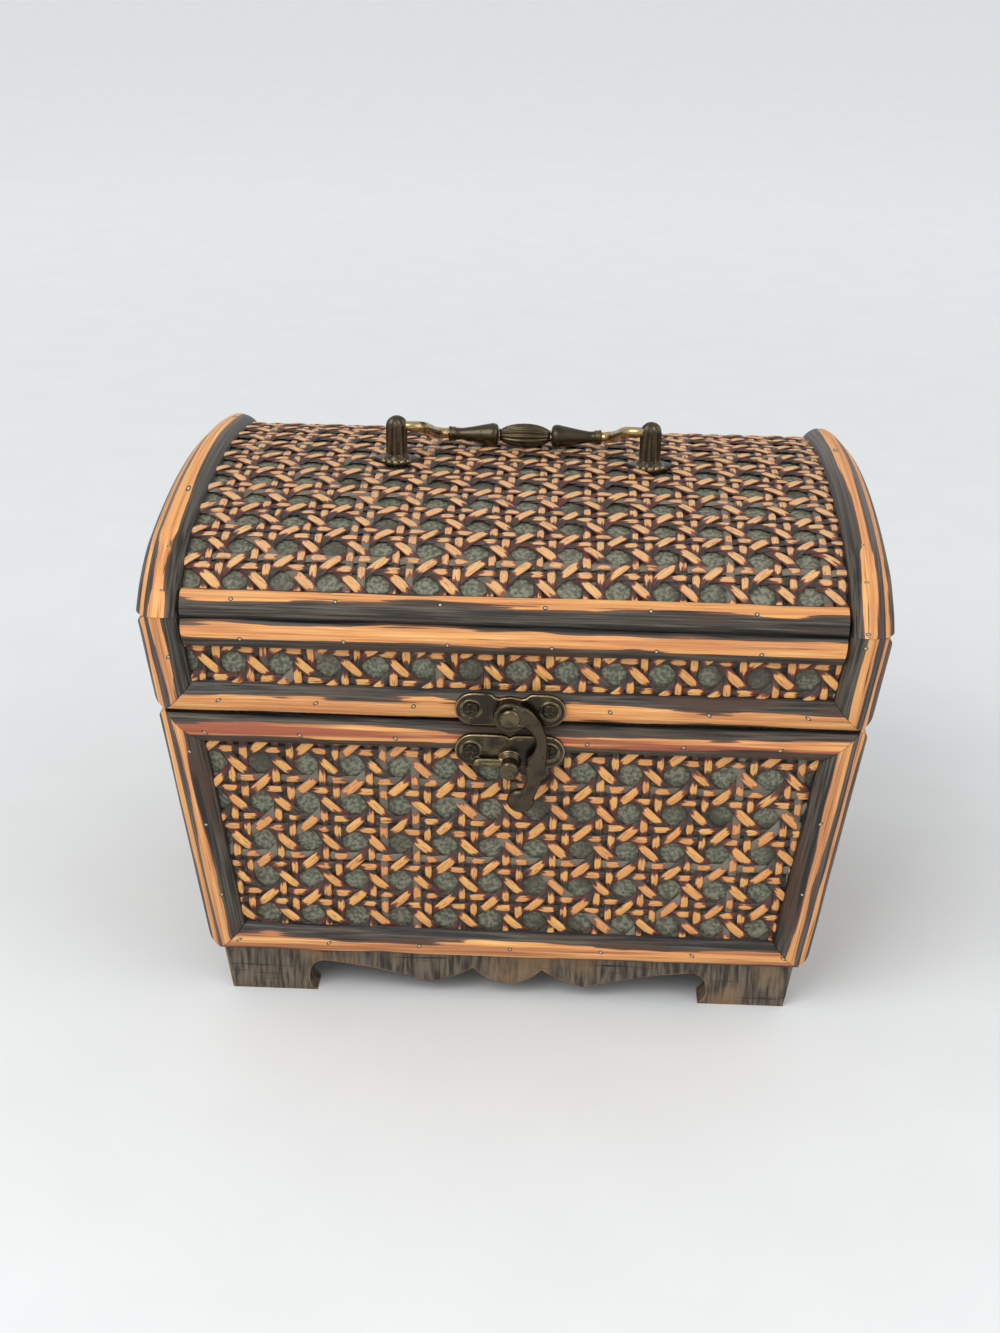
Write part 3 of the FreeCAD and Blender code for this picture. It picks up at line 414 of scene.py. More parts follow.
def makePlinthFinish():
    # dark sawn wood with upright saw marks and rubbed edges
    material = newMaterial("sawnPlinth")
    tree = material.node_tree
    where = addNode(tree, "ShaderNodeTexCoord").outputs["Object"]
    saw, fibre = fibreNode(where, (900.0, 900.0, 45.0), 4.0), fibreNode(where, (40.0, 40.0, 900.0), 3.0)
    colour = mixColour(stepNode(saw, 0.32, 0.68), rgb(44, 37, 30), rgb(116, 102, 84))
    tan = stepNode(noiseNode(where, 60.0, 3.0), 0.50, 0.68)
    colour = mixColour(times(tan, 0.55), colour, rgb(146, 114, 78))
    colour = mixColour(stepNode(fibre, 0.62, 0.72), colour, rgb(24, 21, 19))
    wear = placeGroup(tree, edgeWear, {"Radius": 0.0007, "Noise Scale": 180.0})
    colour = mixColour(times(wear["Mask"], 0.8), colour, rgb(196, 144, 92))
    return closeMaterial(material, colour, 0.6, saw, 0.0004, normal=wear["Normal"])


def makeBronzeFinish():
    # dark antiqued metal, bright where hands rub it
    material = newMaterial("antiqueBronze")
    tree = material.node_tree
    where = addNode(tree, "ShaderNodeTexCoord").outputs["Object"]
    cloud, speck = noiseNode(where, 260.0, 4.0), noiseNode(where, 1500.0, 2.0)
    wear = placeGroup(tree, edgeWear, {"Radius": 0.0003, "Noise Scale": 400.0})
    # the rub attribute says how much hands have polished each casting, under 0 where edges stay dark too
    rub = addNode(tree, "ShaderNodeAttribute", attribute_name="rub").outputs["Fac"]
    worn = times(wear["Mask"], plus(rub, 1.0, clamp=True))
    rubbed = times(stepNode(cloud, 0.52, 0.74), 0.14)
    polish = times(rub, stepNode(cloud, 0.25, 0.50))
    rubbed = mathNode("MAXIMUM", rubbed, polish)
    rubbed = mathNode("MAXIMUM", rubbed, times(worn, 0.9))
    colour = mixColour(rubbed, rgb(52, 46, 38), rgb(190, 166, 120))
    colour = mixColour(stepNode(speck, 0.62, 0.72), colour, rgb(26, 23, 20))
    roughness, metallic = minus(0.27, times(rubbed, 0.05)), plus(0.82, times(rubbed, 0.15))
    return closeMaterial(material, colour, roughness, cloud, 0.0001, normal=wear["Normal"], metallic=metallic)


caneFinish = makeCaneFinish()
stripFinish = makeStripFinish()
boardFinish = makeBoardFinish()
plinthFinish = makePlinthFinish()
bronzeFinish = makeBronzeFinish()
print("finishes made")

# Six-way cane: upright pairs, level pairs and two diagonals round each open eye.
weave = {
    "pitch": 12.7,
    "pairHalf": 1.8,
    "pairWidth": 2.35,
    "diagonalWidth": 2.8,
    "thickness": 0.62,
    "middle": -0.35,
    "pairLift": 0.32,
    "diagonalLift": 0.62,
    "stationsPerPitch": 10,
    "jitter": 0.16,
    "tuck": 3.0,
}
dice = random.Random(41)


def clipToOutline(point, direction, outline):
    # the stretch of a line that lies inside a convex outline
    low, high = -1e9, 1e9
    for i in range(len(outline)):
        a, b = outline[i], outline[(i + 1) % len(outline)]
        normal = np.array([-(b - a)[1], (b - a)[0]])
        reach = float(np.dot(normal, direction))
        gap = float(np.dot(normal, a - point))
        if abs(reach) < 1e-9:
            if gap > 0:
                return None
        elif reach > 0:
            low = max(low, gap / reach)
        else:
            high = min(high, gap / reach)
    return (low, high) if high - low > 2.0 else None


def pairLevel(place, ups):
    # height along a pair strand: over or under at the two crossings, flat at the eye's waist
    pitch, half = weave["pitch"], weave["pairHalf"]
    keys = np.array([-pitch / 2, -half, half, pitch / 2])
    levels = np.array([0.0, ups[0], ups[1], 0.0])
    inside = (place + pitch / 2) % pitch - pitch / 2
    i = np.clip(np.searchsorted(keys, inside, side="right") - 1, 0, 2)
    t = (inside - keys[i]) / (keys[i + 1] - keys[i])
    t = t * t * (3 - 2 * t)
    return levels[i] * (1 - t) + levels[i + 1] * t


def addStrand(pile, surface, point, direction, span, width, levels):
    low, high = span
    count = max(3, int((high - low) / weave["pitch"] * weave["stationsPerPitch"]) + 1)
    along = np.linspace(low, high, count)
    centre = point[None, :] + along[:, None] * direction[None, :]
    across = np.array([-direction[1], direction[0]])
    wave = dice.uniform(0, 6.28)
    drift = weave["jitter"] * np.sin(along / dice.uniform(17, 31) + wave)
    half = width / 2 * (1 + 0.07 * np.sin(along / 9.0 + wave * 2))
    level = levels(centre)
    thick = weave["thickness"]
    section = [(-1.0, -0.30), (-0.86, 0.18), (-0.45, 0.46), (0.0, 0.52), (0.45, 0.46), (0.86, 0.18), (1.0, -0.30),
               (0.0, -0.5)]
    rings = np.zeros((count, len(section), 3))
    grain = np.zeros((count, len(section), 3))
    tone = dice.random()
    for j, (side, up) in enumerate(section):
        flat = centre + (drift + half * side)[:, None] * across[None, :]
        rings[:, j] = surface(flat[:, 0], flat[:, 1], weave["middle"] + level["height"] + up * thick)
        grain[:, j, 0] = along * mm
        grain[:, j, 1] = side * (1.0 if up > -0.4 else 0.2)
        grain[:, j, 2] = tone
    lift = np.repeat(level["lift"][:, None], len(section), axis=1)
    lift[:, [0, 6, 7]] *= 0.4
    addTube(pile, rings, grain, lift, (0.0, 0.0, 0.0))


def weaveSheet(name, node, body, surface, outline, eye):
    # eye is the place of one eye's centre; the others follow at the pitch
    pile = newPile()
    pitch, half = weave["pitch"], weave["pairHalf"]
    reach = int(np.abs(outline).max() / pitch) + 3
    eye = np.array(eye)
    for way in (0, 1):
        direction = np.array([0.0, 1.0]) if way == 0 else np.array([1.0, 0.0])
        for i in range(-reach, reach + 1):
            for side in (-1, 1):
                offset = (i + 0.5) * pitch + side * half + dice.uniform(-1, 1) * weave["jitter"]
                point = eye + (np.array([offset, 0.0]) if way == 0 else np.array([0.0, offset]))
                span = clipToOutline(point, direction, outline)
                if span is None:
                    continue
                # upright: left over the upper level strand; level: the upper one over the right upright
                ups = (-1, 1) if (side < 0) == (way == 0) else (1, -1)
                axis = 1 if way == 0 else 0

                def levels(centre):
                    place = centre[:, axis] - eye[axis] - pitch / 2
                    wave = pairLevel(place, ups)
                    waist = np.abs((place + pitch / 2) % pitch - pitch / 2)
                    bare = np.clip((waist - 2.4) / 1.2, 0, 1) * np.clip((6.0 - waist) / 1.2, 0, 1)
                    lift = np.clip(0.36 + 0.47 * wave + 0.08 * bare, 0, 1)
                    return {"height": weave["pairLift"] * wave, "lift": lift}

                addStrand(pile, surface, point, direction, span, weave["pairWidth"], levels)
    for slant in (-1, 1):
        direction = np.array([1.0, slant]) / math.sqrt(2)
        for i in range(-2 * reach, 2 * reach + 1):
            offset = (i + 0.5) * pitch
            point = eye + np.array([offset / 2, -slant * offset / 2])
            span = clipToOutline(point, direction, outline)
            if span is None:
                continue

            def levels(centre):
                # falling strands rise midway between eyes in a row, rising ones between eyes in a column
                axis = 0 if slant < 0 else 1
                phase = (centre[:, axis] - eye[axis]) / pitch - 0.5
                wave = np.cos(2 * math.pi * phase)
                wave = np.sign(wave) * np.abs(wave) ** 0.75
                return {"height": weave["diagonalLift"] * wave, "lift": np.clip(0.30 + 0.56 * wave, 0, 1)}

            addStrand(pile, surface, point, direction, span, weave["diagonalWidth"], levels)
    pileObject(name, pile, caneFinish, body, [node])


def insetOutline(outline, edges):
    # moves each side of an outline in by its own distance
    lines = []
    for i, inset in enumerate(edges):
        a, b = outline[i], outline[(i + 1) % len(outline)]
        along = (b - a) / np.linalg.norm(b - a)
        inward = np.array([-along[1], along[0]])
        lines.append((a + inward * inset, along))
    corners = []
    for i in range(len(lines)):
        (p, u), (q, v) = lines[i - 1], lines[i]
        reach = ((q - p)[0] * v[1] - (q - p)[1] * v[0]) / (u[0] * v[1] - u[1] * v[0])
        corners.append(p + u * reach)
    return np.array(corners)


def flatSurface(side, low):
    origin, run, slope, normal = faceFrame(side, low, caneThickness)

    def surface(s, t, h):
        return origin + np.outer(s, run) + np.outer(t, slope) + np.outer(np.broadcast_to(h, np.shape(s)), normal)

    return surface


def domeSurface(s, t, h):
    h = np.broadcast_to(h, np.shape(s))
    rows = []
    for x, arc, height in zip(s, t, h):
        angle = domeAngle(arc)
        spot = domePoint(angle, caneThickness + height)
        rows.append((x, spot[1], spot[2]))
    return np.array(rows)


firstRow = 12.6
for side in longSides + shortSides:
    columns = 12 if side in longSides else 9
    shift = 1.15 if side == "front" else 0.0
    eyeX = (0.5 if columns % 2 == 0 else 0.0) * weave["pitch"] + shift
    outline = faceOutline(side, carcass["plinthHeight"], carcass["partingHeight"])
    inner = insetOutline(outline, [weave["tuck"]] * 4)
    weaveSheet(f"weave_base_{side}", f"base_{side}_cane", "base", flatSurface(side, carcass["plinthHeight"]), inner,
               (eyeX, firstRow))
    print("wove base", side)


def lunetteOutline():
    offset = caneThickness - weave["tuck"]
    end = ridgeAngle(offset)
    points = []
    for angle in np.linspace(end, -end, 25):
        spot = domePoint(angle, offset)
        points.append((spot[1], spot[2] - carcass["ridgeHeight"]))
    return np.array(points)


for side in longSides + shortSides:
    outline = faceOutline(side, lidLow, carcass["ridgeHeight"])
    inner = insetOutline(outline, [weave["tuck"]] * 4)
    rowHeight = (outline[2][1] + 9.5 - 8.5) / 2
    shift = 1.9 if side == "front" else 0.0
    eyeX = shift if side in longSides else weave["pitch"] / 2
    if side in longSides:
        weaveSheet(f"weave_lid_{side}", f"lid_{side}_cane", "lid", flatSurface(side, lidLow), inner, (eyeX, rowHeight))
        continue
    # the end band and the lunette above it are one node, so their strands share one object
    bandSurface = flatSurface(side, lidLow)
    way = 1 if side == "right" else -1
    endX = way * (carcass["ridgeWidth"] / 2 + caneThickness)
    split = outline[2][1]

    def endSurface(s, t, h):
        band = bandSurface(s, t, h)
        flat = np.stack([np.full(len(s), endX) + way * np.broadcast_to(h, np.shape(s)), way * np.asarray(s),
                         carcass["ridgeHeight"] + np.asarray(t) - split], axis=1)
        return np.where((np.asarray(t) > split)[:, None], flat, band)

    whole = np.vstack([inner[:2], lunetteOutline() + np.array([0, split])])
    weaveSheet(f"weave_lid_{side}", f"lid_{side}_cane", "lid", endSurface, whole, (eyeX, rowHeight))
domeHalf = carcass["ridgeWidth"] / 2 - weave["tuck"]
domeOutline = np.array([(-domeHalf, 2.0), (domeHalf, 2.0), (domeHalf, domeArc - 2.0), (-domeHalf, domeArc - 2.0)])
weaveSheet("weave_dome", "dome_cane", "lid", domeSurface, domeOutline, (1.9, 11.2))
print("wove lid")

# Split bamboo strips. Each is a patch between an outer and an inner edge, raised to a half round.
strip = {
    "width": 9.5,
    "mouldingWidth": 8.5,
    "height": 3.2,
    "inside": 0.06,
    "joint": 0.12,
    "columns": 16,
    "station": 2.5,
    "wobble": 0.16,
}


def halfRound(width):
    # across from -1 to 1, and the height of the round over the flat back
    radius = (width ** 2 / 4 + strip["height"] ** 2) / (2 * strip["height"])
    turn = math.asin(width / 2 / radius)
    angles = np.linspace(-turn, turn, strip["columns"] + 1)
    across = np.sin(angles) * radius / (width / 2)
    return across, radius * np.cos(angles) - (radius - strip["height"])


def addStrip(pile, width, length, place, finish):
    # place(f, v, h) gives the point at a share f of the length, v across and h up
    across, height = halfRound(width)
    count = max(4, int(length / strip["station"]))
    shares = np.linspace(0, 1, count)
    shares[0] += strip["joint"] / length
    shares[-1] -= strip["joint"] / length
    wave = [dice.uniform(0, 6.28) for _ in range(4)]
    tone = dice.random()
    around = len(across) + 1
    rings = np.zeros((count, around, 3))
    grain = np.zeros((count, around, 3))
    for i, share in enumerate(shares):
        along = share * length
        dent = 0.5 + 0.5 * math.sin(along / 21 + wave[0]) * math.sin(along / 7.3 + wave[1])
        for j in range(len(across)):
            ripple = 0.5 + 0.5 * math.sin(across[j] * 5 + along / 33 + wave[2])
            drop = strip["inside"] + strip["wobble"] * dent * ripple
            rings[i, j] = place(share, across[j] * 0.995, max(height[j] - drop, 0.02))
            grain[i, j] = (along * mm, across[j], tone)
        rings[i, -1] = place(share, 0.0, 0.0)
        grain[i, -1] = (along * mm, 0.0, tone)
    addTube(pile, rings, grain, np.zeros((count, around)), finish)


def quadPlace(frameOf, corners):
    # corners: outer start, outer end, inner end, inner start, in the face's own plane
    origin, run, slope, normal = frameOf
    a, b, c, d = corners

    def place(share, across, height):
        t = (across + 1) / 2
        start = a * (1 - t) + d * t
        end = b * (1 - t) + c * t
        spot = start * (1 - share) + end * share
        return origin + run * spot[0] + slope * spot[1] + normal * height

    return place


def addFlatStrip(pile, width, frameOf, corners, finish):
    length = float(np.linalg.norm(corners[1] - corners[0]))
    addStrip(pile, width, length, quadPlace(frameOf, corners), finish)


def ringCorners(outline, widths):
    inner = insetOutline(outline, widths)
    return [(outline[i], outline[(i + 1) % 4], inner[(i + 1) % 4], inner[i]) for i in range(4)]


# Where each strip is sanded: centre across (-1 the outer edge), half width, and how red it is.
sanding = {
    "bottom": (-0.14, 0.56, 0.6),
    "top": (-0.10, 0.36, 0.9),
    "stile": (-0.30, 0.30, 0.45),
    "side": (-0.9, 0.12, 0.2),
    "back": (0.0, 0.40, 0.4),
    "lidBottom": (-0.20, 0.50, 0.4),
    "ridgeLower": (-0.35, 0.40, 0.4),
    "ridgeUpper": (0.48, 0.42, 0.3),
    "arch": (-0.22, 0.34, 0.3),
    "endArch": (-0.95, 0.12, 0.2),
}


def sandingFor(side, index):
    if side in shortSides:
        return sanding["side"]
    if side == "back":
        return sanding["back"]
    return sanding[("bottom", "stile", "top", "stile")[index]]


def stripObject(name, pile, body, nodes):
    return pileObject(name, pile, stripFinish, body, nodes)


for side in longSides + shortSides:
    frameOf = faceFrame(side, carcass["plinthHeight"], caneThickness)
    outline = faceOutline(side, carcass["plinthHeight"], carcass["partingHeight"])
    corners = ringCorners(outline, [strip["width"]] * 4)
    groups = {"strips": (0, 1, 2, 3)} if side != "front" else {"rail_strips": (0, 2), "stile_strips": (1, 3)}
    for label, members in groups.items():
        pile = newPile()
        for i in members:
            addFlatStrip(pile, strip["width"], frameOf, corners[i], sandingFor(side, i))
        stripObject(f"bamboo_base_{side}_{label}", pile, "base", [f"base_{side}_{label}"])

for side in shortSides:
    frameOf = faceFrame(side, lidLow, caneThickness)
    outline = faceOutline(side, lidLow, carcass["ridgeHeight"])
    widths = [strip["width"], strip["width"], strip["mouldingWidth"], strip["width"]]
    pile = newPile()
    for i, corner in enumerate(ringCorners(outline, widths)):
        addFlatStrip(pile, widths[i], frameOf, corner, sanding["side"])
    stripObject(f"bamboo_lid_{side}", pile, "lid", [f"lid_{side}_strips"])

ridgeEnd = ridgeAngle(caneThickness)
cornerTurn = math.radians(90) + carcass["frontLean"] - ridgeEnd
mitreRun = math.tan(cornerTurn / 2)
caneReach = carcass["ridgeWidth"] / 2 + caneThickness
for side, way in (("front", -1), ("back", 1)):
    frameOf = faceFrame(side, lidLow, caneThickness)
    outline = faceOutline(side, lidLow, carcass["ridgeHeight"])
    inner = insetOutline(outline, [strip["width"]] * 4)
    top = insetOutline(outline, [0, strip["width"], 0, strip["width"]])
    under = insetOutline(outline, [0, strip["width"], strip["mouldingWidth"], strip["width"]])
    pile = newPile()
    addFlatStrip(pile, strip["width"], frameOf, (outline[0], outline[1], inner[1], inner[0]), sanding["lidBottom"])
    stripObject(f"bamboo_lid_{side}_bottom", pile, "lid", [f"lid_{side}_bottom_strip"])
    pile = newPile()
    addFlatStrip(pile, strip["mouldingWidth"], frameOf, (top[2], top[3], under[3], under[2]), sanding["ridgeLower"])
    stripObject(f"bamboo_{side}_ridge_lower", pile, "lid", [f"{side}_ridge_lower_strip"])
    pile = newPile()
    for corner in ((outline[1], outline[2], top[2], inner[1]), (outline[0], outline[3], top[3], inner[0])):
        flat = quadPlace(frameOf, corner)
        length = float(np.linalg.norm(corner[1] - corner[0]))

        def stile(share, across, height):
            return flat(share, across, height) + frameOf[2] * height * mitreRun * share

        addStrip(pile, strip["width"], length, stile, sanding["stile"])
    stripObject(f"bamboo_lid_{side}_stiles", pile, "lid", [f"lid_{side}_stile_strips"])
    pile = newPile()
    turnAcross = 2 * math.asin(strip["mouldingWidth"] / 2 / (shoulderRadius + caneThickness))
    lowEdge = domePoint(way * ridgeEnd, caneThickness)
    highEdge = domePoint(way * (ridgeEnd - turnAcross), caneThickness)
    lean = way * (ridgeEnd - turnAcross / 2)
    outward = np.array([0.0, math.sin(lean), math.cos(lean)])
    reach = caneReach - strip["width"]

    def upper(share, across, height):
        t = (across + 1) / 2
        return lowEdge * (1 - t) + highEdge * t + outward * height + np.array([reach * (2 * share - 1), 0, 0])

    addStrip(pile, strip["mouldingWidth"], 2 * reach, upper, sanding["ridgeUpper"])
    stripObject(f"bamboo_{side}_ridge_upper", pile, "lid", [f"{side}_ridge_upper_strip"])

for side, way in (("left", -1), ("right", 1)):
    def archTop(share, across, height):
        angle = ridgeEnd * (2 * share - 1)
        spot = domePoint(angle, caneThickness + height)
        ends = max(0.0, abs(2 * share - 1) - 0.9) / 0.1
        tangent = np.array([0, math.cos(angle), -math.sin(angle)]) * math.copysign(1.0, angle)
        spot = spot + tangent * height * mitreRun * ends
        return spot + np.array([way * (caneReach - strip["width"] * (across + 1) / 2), 0, 0])

    def archEnd(share, across, height):
        offset = caneThickness - strip["width"] * (across + 1) / 2
        angle = ridgeAngle(offset) * (2 * share - 1)
        return domePoint(angle, offset) + np.array([way * (caneReach + height), 0, 0])

    for label, place, look in (("arch_strip", archTop, "arch"), ("end_arch_strip", archEnd, "endArch")):
        pile = newPile()
        addStrip(pile, strip["width"], domeArc, place, sanding[look])
        stripObject(f"bamboo_{side}_{label}", pile, "lid", [f"{side}_{label}"])
print("strips laid")

# Cast and turned pieces, drawn in millimetres on a frame of origin, run, slope and normal.
def onFrame(frameOf, points):
    origin, run, slope, normal = frameOf
    return origin + np.asarray(points, float) @ np.array([run, slope, normal])


def shiftFrame(frameOf, x, y, z):
    return (onFrame(frameOf, (x, y, z)), *frameOf[1:])


def newShape():
    return {"verts": [], "faces": [], "rub": []}


def addRings(shape, rings, rub=0.0):
    # rub is one value, or a list with one for each ring
    start, around = len(shape["verts"]), len(rings[0])
    rubs = rub if isinstance(rub, list) else [rub] * len(rings)
    for ring, worn in zip(rings, rubs):
        shape["verts"] += [tuple(point * mm) for point in ring]
        shape["rub"] += [worn] * around
    for k in range(len(rings) - 1):
        low = start + k * around
        for i in range(around):
            j = (i + 1) % around
            shape["faces"].append((low + i, low + j, low + around + j, low + around + i))
    last = start + (len(rings) - 1) * around
    shape["faces"].append(tuple(start + i for i in range(around))[::-1])
    shape["faces"].append(tuple(last + i for i in range(around)))


def addTurned(shape, frameOf, profile, sides=28, flutes=0, rub=0.0, cross=0.0):
    # profile rows are radius, height and the depth of the flutes; cross is the half width of a driver's slot
    turns = np.linspace(0, 2 * math.pi, sides, endpoint=False)
    rings = []
    for row in profile:
        depth = row[2] if len(row) > 2 else 0.0
        radius = row[0] - depth * (0.5 + 0.5 * np.cos(flutes * turns))
        x, y = radius * np.cos(turns), radius * np.sin(turns)
        height = np.full(sides, row[1])
        if cross:
            inside = (np.minimum(np.abs(x), np.abs(y)) < cross) & (radius < 1.35) & (height > 0.2)
            height = height - 0.42 * inside
        rings.append(onFrame(frameOf, np.stack([x, y, height], axis=1)))
    addRings(shape, rings, rub)


def addCast(shape, frameOf, outline, low, high, soft, rub=0.0, rim=0.0):
    # a plate whose upper edge is rounded over, and rubbed by rim there
    outline = np.array(outline, float)
    along = np.roll(outline, -1, axis=0) - np.roll(outline, 1, axis=0)
    along /= np.linalg.norm(along, axis=1)[:, None]
    inward = np.stack([-along[:, 1], along[:, 0]], axis=1)
    steps = [(0.0, low, rub)]
    for angle in (0, 25, 50, 70, 90):
        turn = math.radians(angle)
        steps.append((soft * (1 - math.cos(turn)), high - soft + soft * math.sin(turn), rim if 0 < angle < 90 else rub))
    rings = []
    for inset, height, _ in steps:
        flat = outline + inward * inset
        rings.append(onFrame(frameOf, np.column_stack([flat, np.full(len(flat), height)])))
    addRings(shape, rings, [step[2] for step in steps])


def addHook(shape, frameOf, spine, steps=5, sides=24):
    # a bar of oval section along a smooth curve through the spine's stations
    spine = np.array(spine, float)
    last = len(spine) - 1
    stations = []
    for i in range(last):
        a, b, c, d = (spine[min(max(i + k, 0), last)] for k in (-1, 0, 1, 2))
        for step in range(steps):
            t = step / steps
            stations.append(0.5 * (2 * b + (c - a) * t + (2 * a - 5 * b + 4 * c - d) * t ** 2
                                   + (3 * b - a - 3 * c + d) * t ** 3))
    stations = np.array(stations + [spine[-1]])
    heading = np.gradient(stations[:, :2], axis=0)
    heading /= np.linalg.norm(heading, axis=1)[:, None]
    turns = np.linspace(0, 2 * math.pi, sides, endpoint=False)
    rings = []
    for (x, y, width), (u, v) in zip(stations, heading):
        thick = min(1.25, 0.55 + 0.35 * width)
        flat = np.array([x, y]) + np.outer(width * np.cos(turns), [-v, u])
        rings.append(onFrame(frameOf, np.column_stack([flat, latch["hookMiddle"] + thick * np.sin(turns)])))
    addRings(shape, rings, 0.08)


def arcPoints(x, y, radius, start, end, count):
    turns = np.radians(np.linspace(start, end, count))
    return [(x + radius * math.cos(turn), y + radius * math.sin(turn)) for turn in turns]


def shapeObject(name, shape, body, nodes, finish=bronzeFinish):
    mesh = bpy.data.meshes.new(name)
    mesh.from_pydata(shape["verts"], [], shape["faces"])
    layer = mesh.attributes.new("rub", "FLOAT", "POINT")
    layer.data.foreach_set("value", np.array(shape["rub"], np.float32))
    work = bmesh.new()
    work.from_mesh(mesh)
    bmesh.ops.recalc_face_normals(work, faces=work.faces)
    work.to_mesh(mesh)
    work.free()
    placePiece(name, mesh, 38, finish, body, nodes)


# Hook latch on the crests of the strips either side of the parting.
latch = {
    "plateHalf": 14.85,
    "plateRadius": 4.9,
    "plateThick": 1.1,
    "screwSpacing": 21.0,
    "upperRise": 5.6,
    "lowerDrop": 7.2,
    "pivotRise": 5.0,
    "postDrop": 10.4,
    "hookMiddle": 3.45,
    "upperEdge": [(5.9, 4.9), (5.0, 4.6), (4.1, 3.7), (3.0, 3.4), (1.5, 3.8), (0.0, 4.0), (-1.5, 3.8), (-3.0, 3.4),
                  (-4.1, 3.7), (-5.0, 4.6), (-5.9, 4.9)],
    "lowerEdge": [(3.4, 4.9), (2.0, 4.9), (0.9, 4.6), (0.2, 4.1), (-0.3, 4.1), (-1.0, 4.6), (-2.0, 4.9), (-3.4, 4.9)],
    # x, y and half width down the middle of the hook, from its boss to its bulb
    "hookSpine": [(0.6, 0.6, 3.4), (3.6, 0.1, 2.9), (6.2, -2.2, 2.2), (7.9, -5.2, 1.7), (8.6, -8.5, 1.6),
                  (8.1, -11.6, 2.0), (7.2, -14.2, 2.8), (7.1, -16.8, 2.7), (6.6, -20.0, 2.0), (5.4, -23.2, 2.1),
                  (3.9, -25.6, 2.6)],
}
latchFrame = shiftFrame(faceFrame("front", carcass["partingHeight"], caneThickness), 0, 0, 3.2)
pivotFrame = shiftFrame(latchFrame, 0, latch["pivotRise"], 0)


def plateOutline(edge):
    reach, radius = latch["plateHalf"] - latch["plateRadius"], latch["plateRadius"]
    return arcPoints(reach, 0, radius, -90, 90, 13) + edge + arcPoints(-reach, 0, radius, 90, 270, 13)


def addScrew(shape, frameOf, head, shank, length):
    profile = [(shank * 0.2, -length), (shank, -length + 1.6), (shank, 0.0), (head, 0.0), (head * 0.97, 0.25)]
    for share in (0.9, 0.75, 0.62, 0.5, 0.36, 0.22, 0.1):
        profile.append((head * share, 0.25 + 0.45 * math.sqrt(1 - share ** 2)))
    addTurned(shape, frameOf, profile, sides=32, rub=-0.9, cross=0.26)


for name, rise, edge in (("plate", latch["upperRise"], "upperEdge"), ("keeper", -latch["lowerDrop"], "lowerEdge")):
    shape = newShape()
    addCast(shape, shiftFrame(latchFrame, 0, rise, 0), plateOutline(latch[edge]), 0.0, latch["plateThick"], 0.45,
            rim=0.6)
    screws = newShape()
    for way in (-1, 1):
        seat = shiftFrame(latchFrame, way * latch["screwSpacing"] / 2, rise, latch["plateThick"])
        addTurned(shape, shiftFrame(seat, 0, 0, -0.4), [(2.9, 0.0), (2.9, 0.45), (2.7, 0.6), (2.45, 0.5), (2.3, 0.3)])
        addScrew(screws, seat, 2.1, 0.9, 7.0)
    if name == "keeper":
        foot = shiftFrame(latchFrame, 0, -latch["postDrop"], latch["plateThick"])
        addTurned(shape, foot, [(3.3, -0.2), (3.3, 0.5), (2.9, 0.9), (2.35, 1.2), (2.2, 2.4), (2.25, 4.0), (2.65, 4.35),
                                (2.7, 4.9), (2.3, 5.45), (1.5, 5.6), (1.2, 5.4), (0.4, 5.3)], rub=0.14)
        _, run, slope, normal = foot
        for side in (-0.62, 0.62):
            arm = (onFrame(foot, (-1.5, side, 0.75)), slope, normal, -run)
            addTurned(shape, arm, [(0.72, 0.0), (0.7, 6.8), (0.6, 7.2), (0.3, 7.5)], sides=14, rub=0.2)
        addTurned(shape, (onFrame(foot, (-8.7, 0, -0.1)), run, slope, normal),
                  [(1.2, 0.0), (1.2, 0.8), (0.95, 1.5), (0.5, 1.9), (0.1, 2.0)], sides=18, rub=0.3)
        shapeObject("latch_keeper_casting", shape, "base", ["latch_keeper"])
        shapeObject("keeper_screw_heads", screws, "base", ["keeper_screws"])
        continue
    shapeObject("latch_hook_plate_casting", shape, "lid", ["latch_hook_plate"])
    shapeObject("hook_plate_screw_heads", screws, "lid", ["hook_plate_screws"])
shape = newShape()
addHook(shape, pivotFrame, latch["hookSpine"])
addTurned(shape, shiftFrame(pivotFrame, 3.2, -26.4, 0), [(1.5, 2.1), (3.2, 2.2), (3.75, 2.7), (3.8, 3.2), (3.5, 3.8),
                                                         (2.8, 4.4), (1.9, 4.8), (0.8, 5.0), (0.1, 5.02)], sides=32, rub=0.08)
addTurned(shape, pivotFrame, [(4.5, 1.4), (4.55, 3.6), (4.4, 4.1), (4.05, 4.42), (3.6, 4.44), (3.25, 4.25), (3.1, 4.1),
                              (1.3, 4.1)], sides=40, rub=0.06)
shapeObject("latch_hook_casting", shape, "hook", ["latch_hook"])
shape = newShape()
addTurned(shape, pivotFrame, [(1.2, 0.0), (1.2, 4.5), (2.8, 4.5), (2.75, 4.75), (2.4, 5.15), (1.7, 5.45), (0.9, 5.58),
                              (0.1, 5.6)], sides=32, rub=0.22)
shapeObject("latch_rivet_head", shape, "lid", ["latch_rivet"])
print("latch cast")

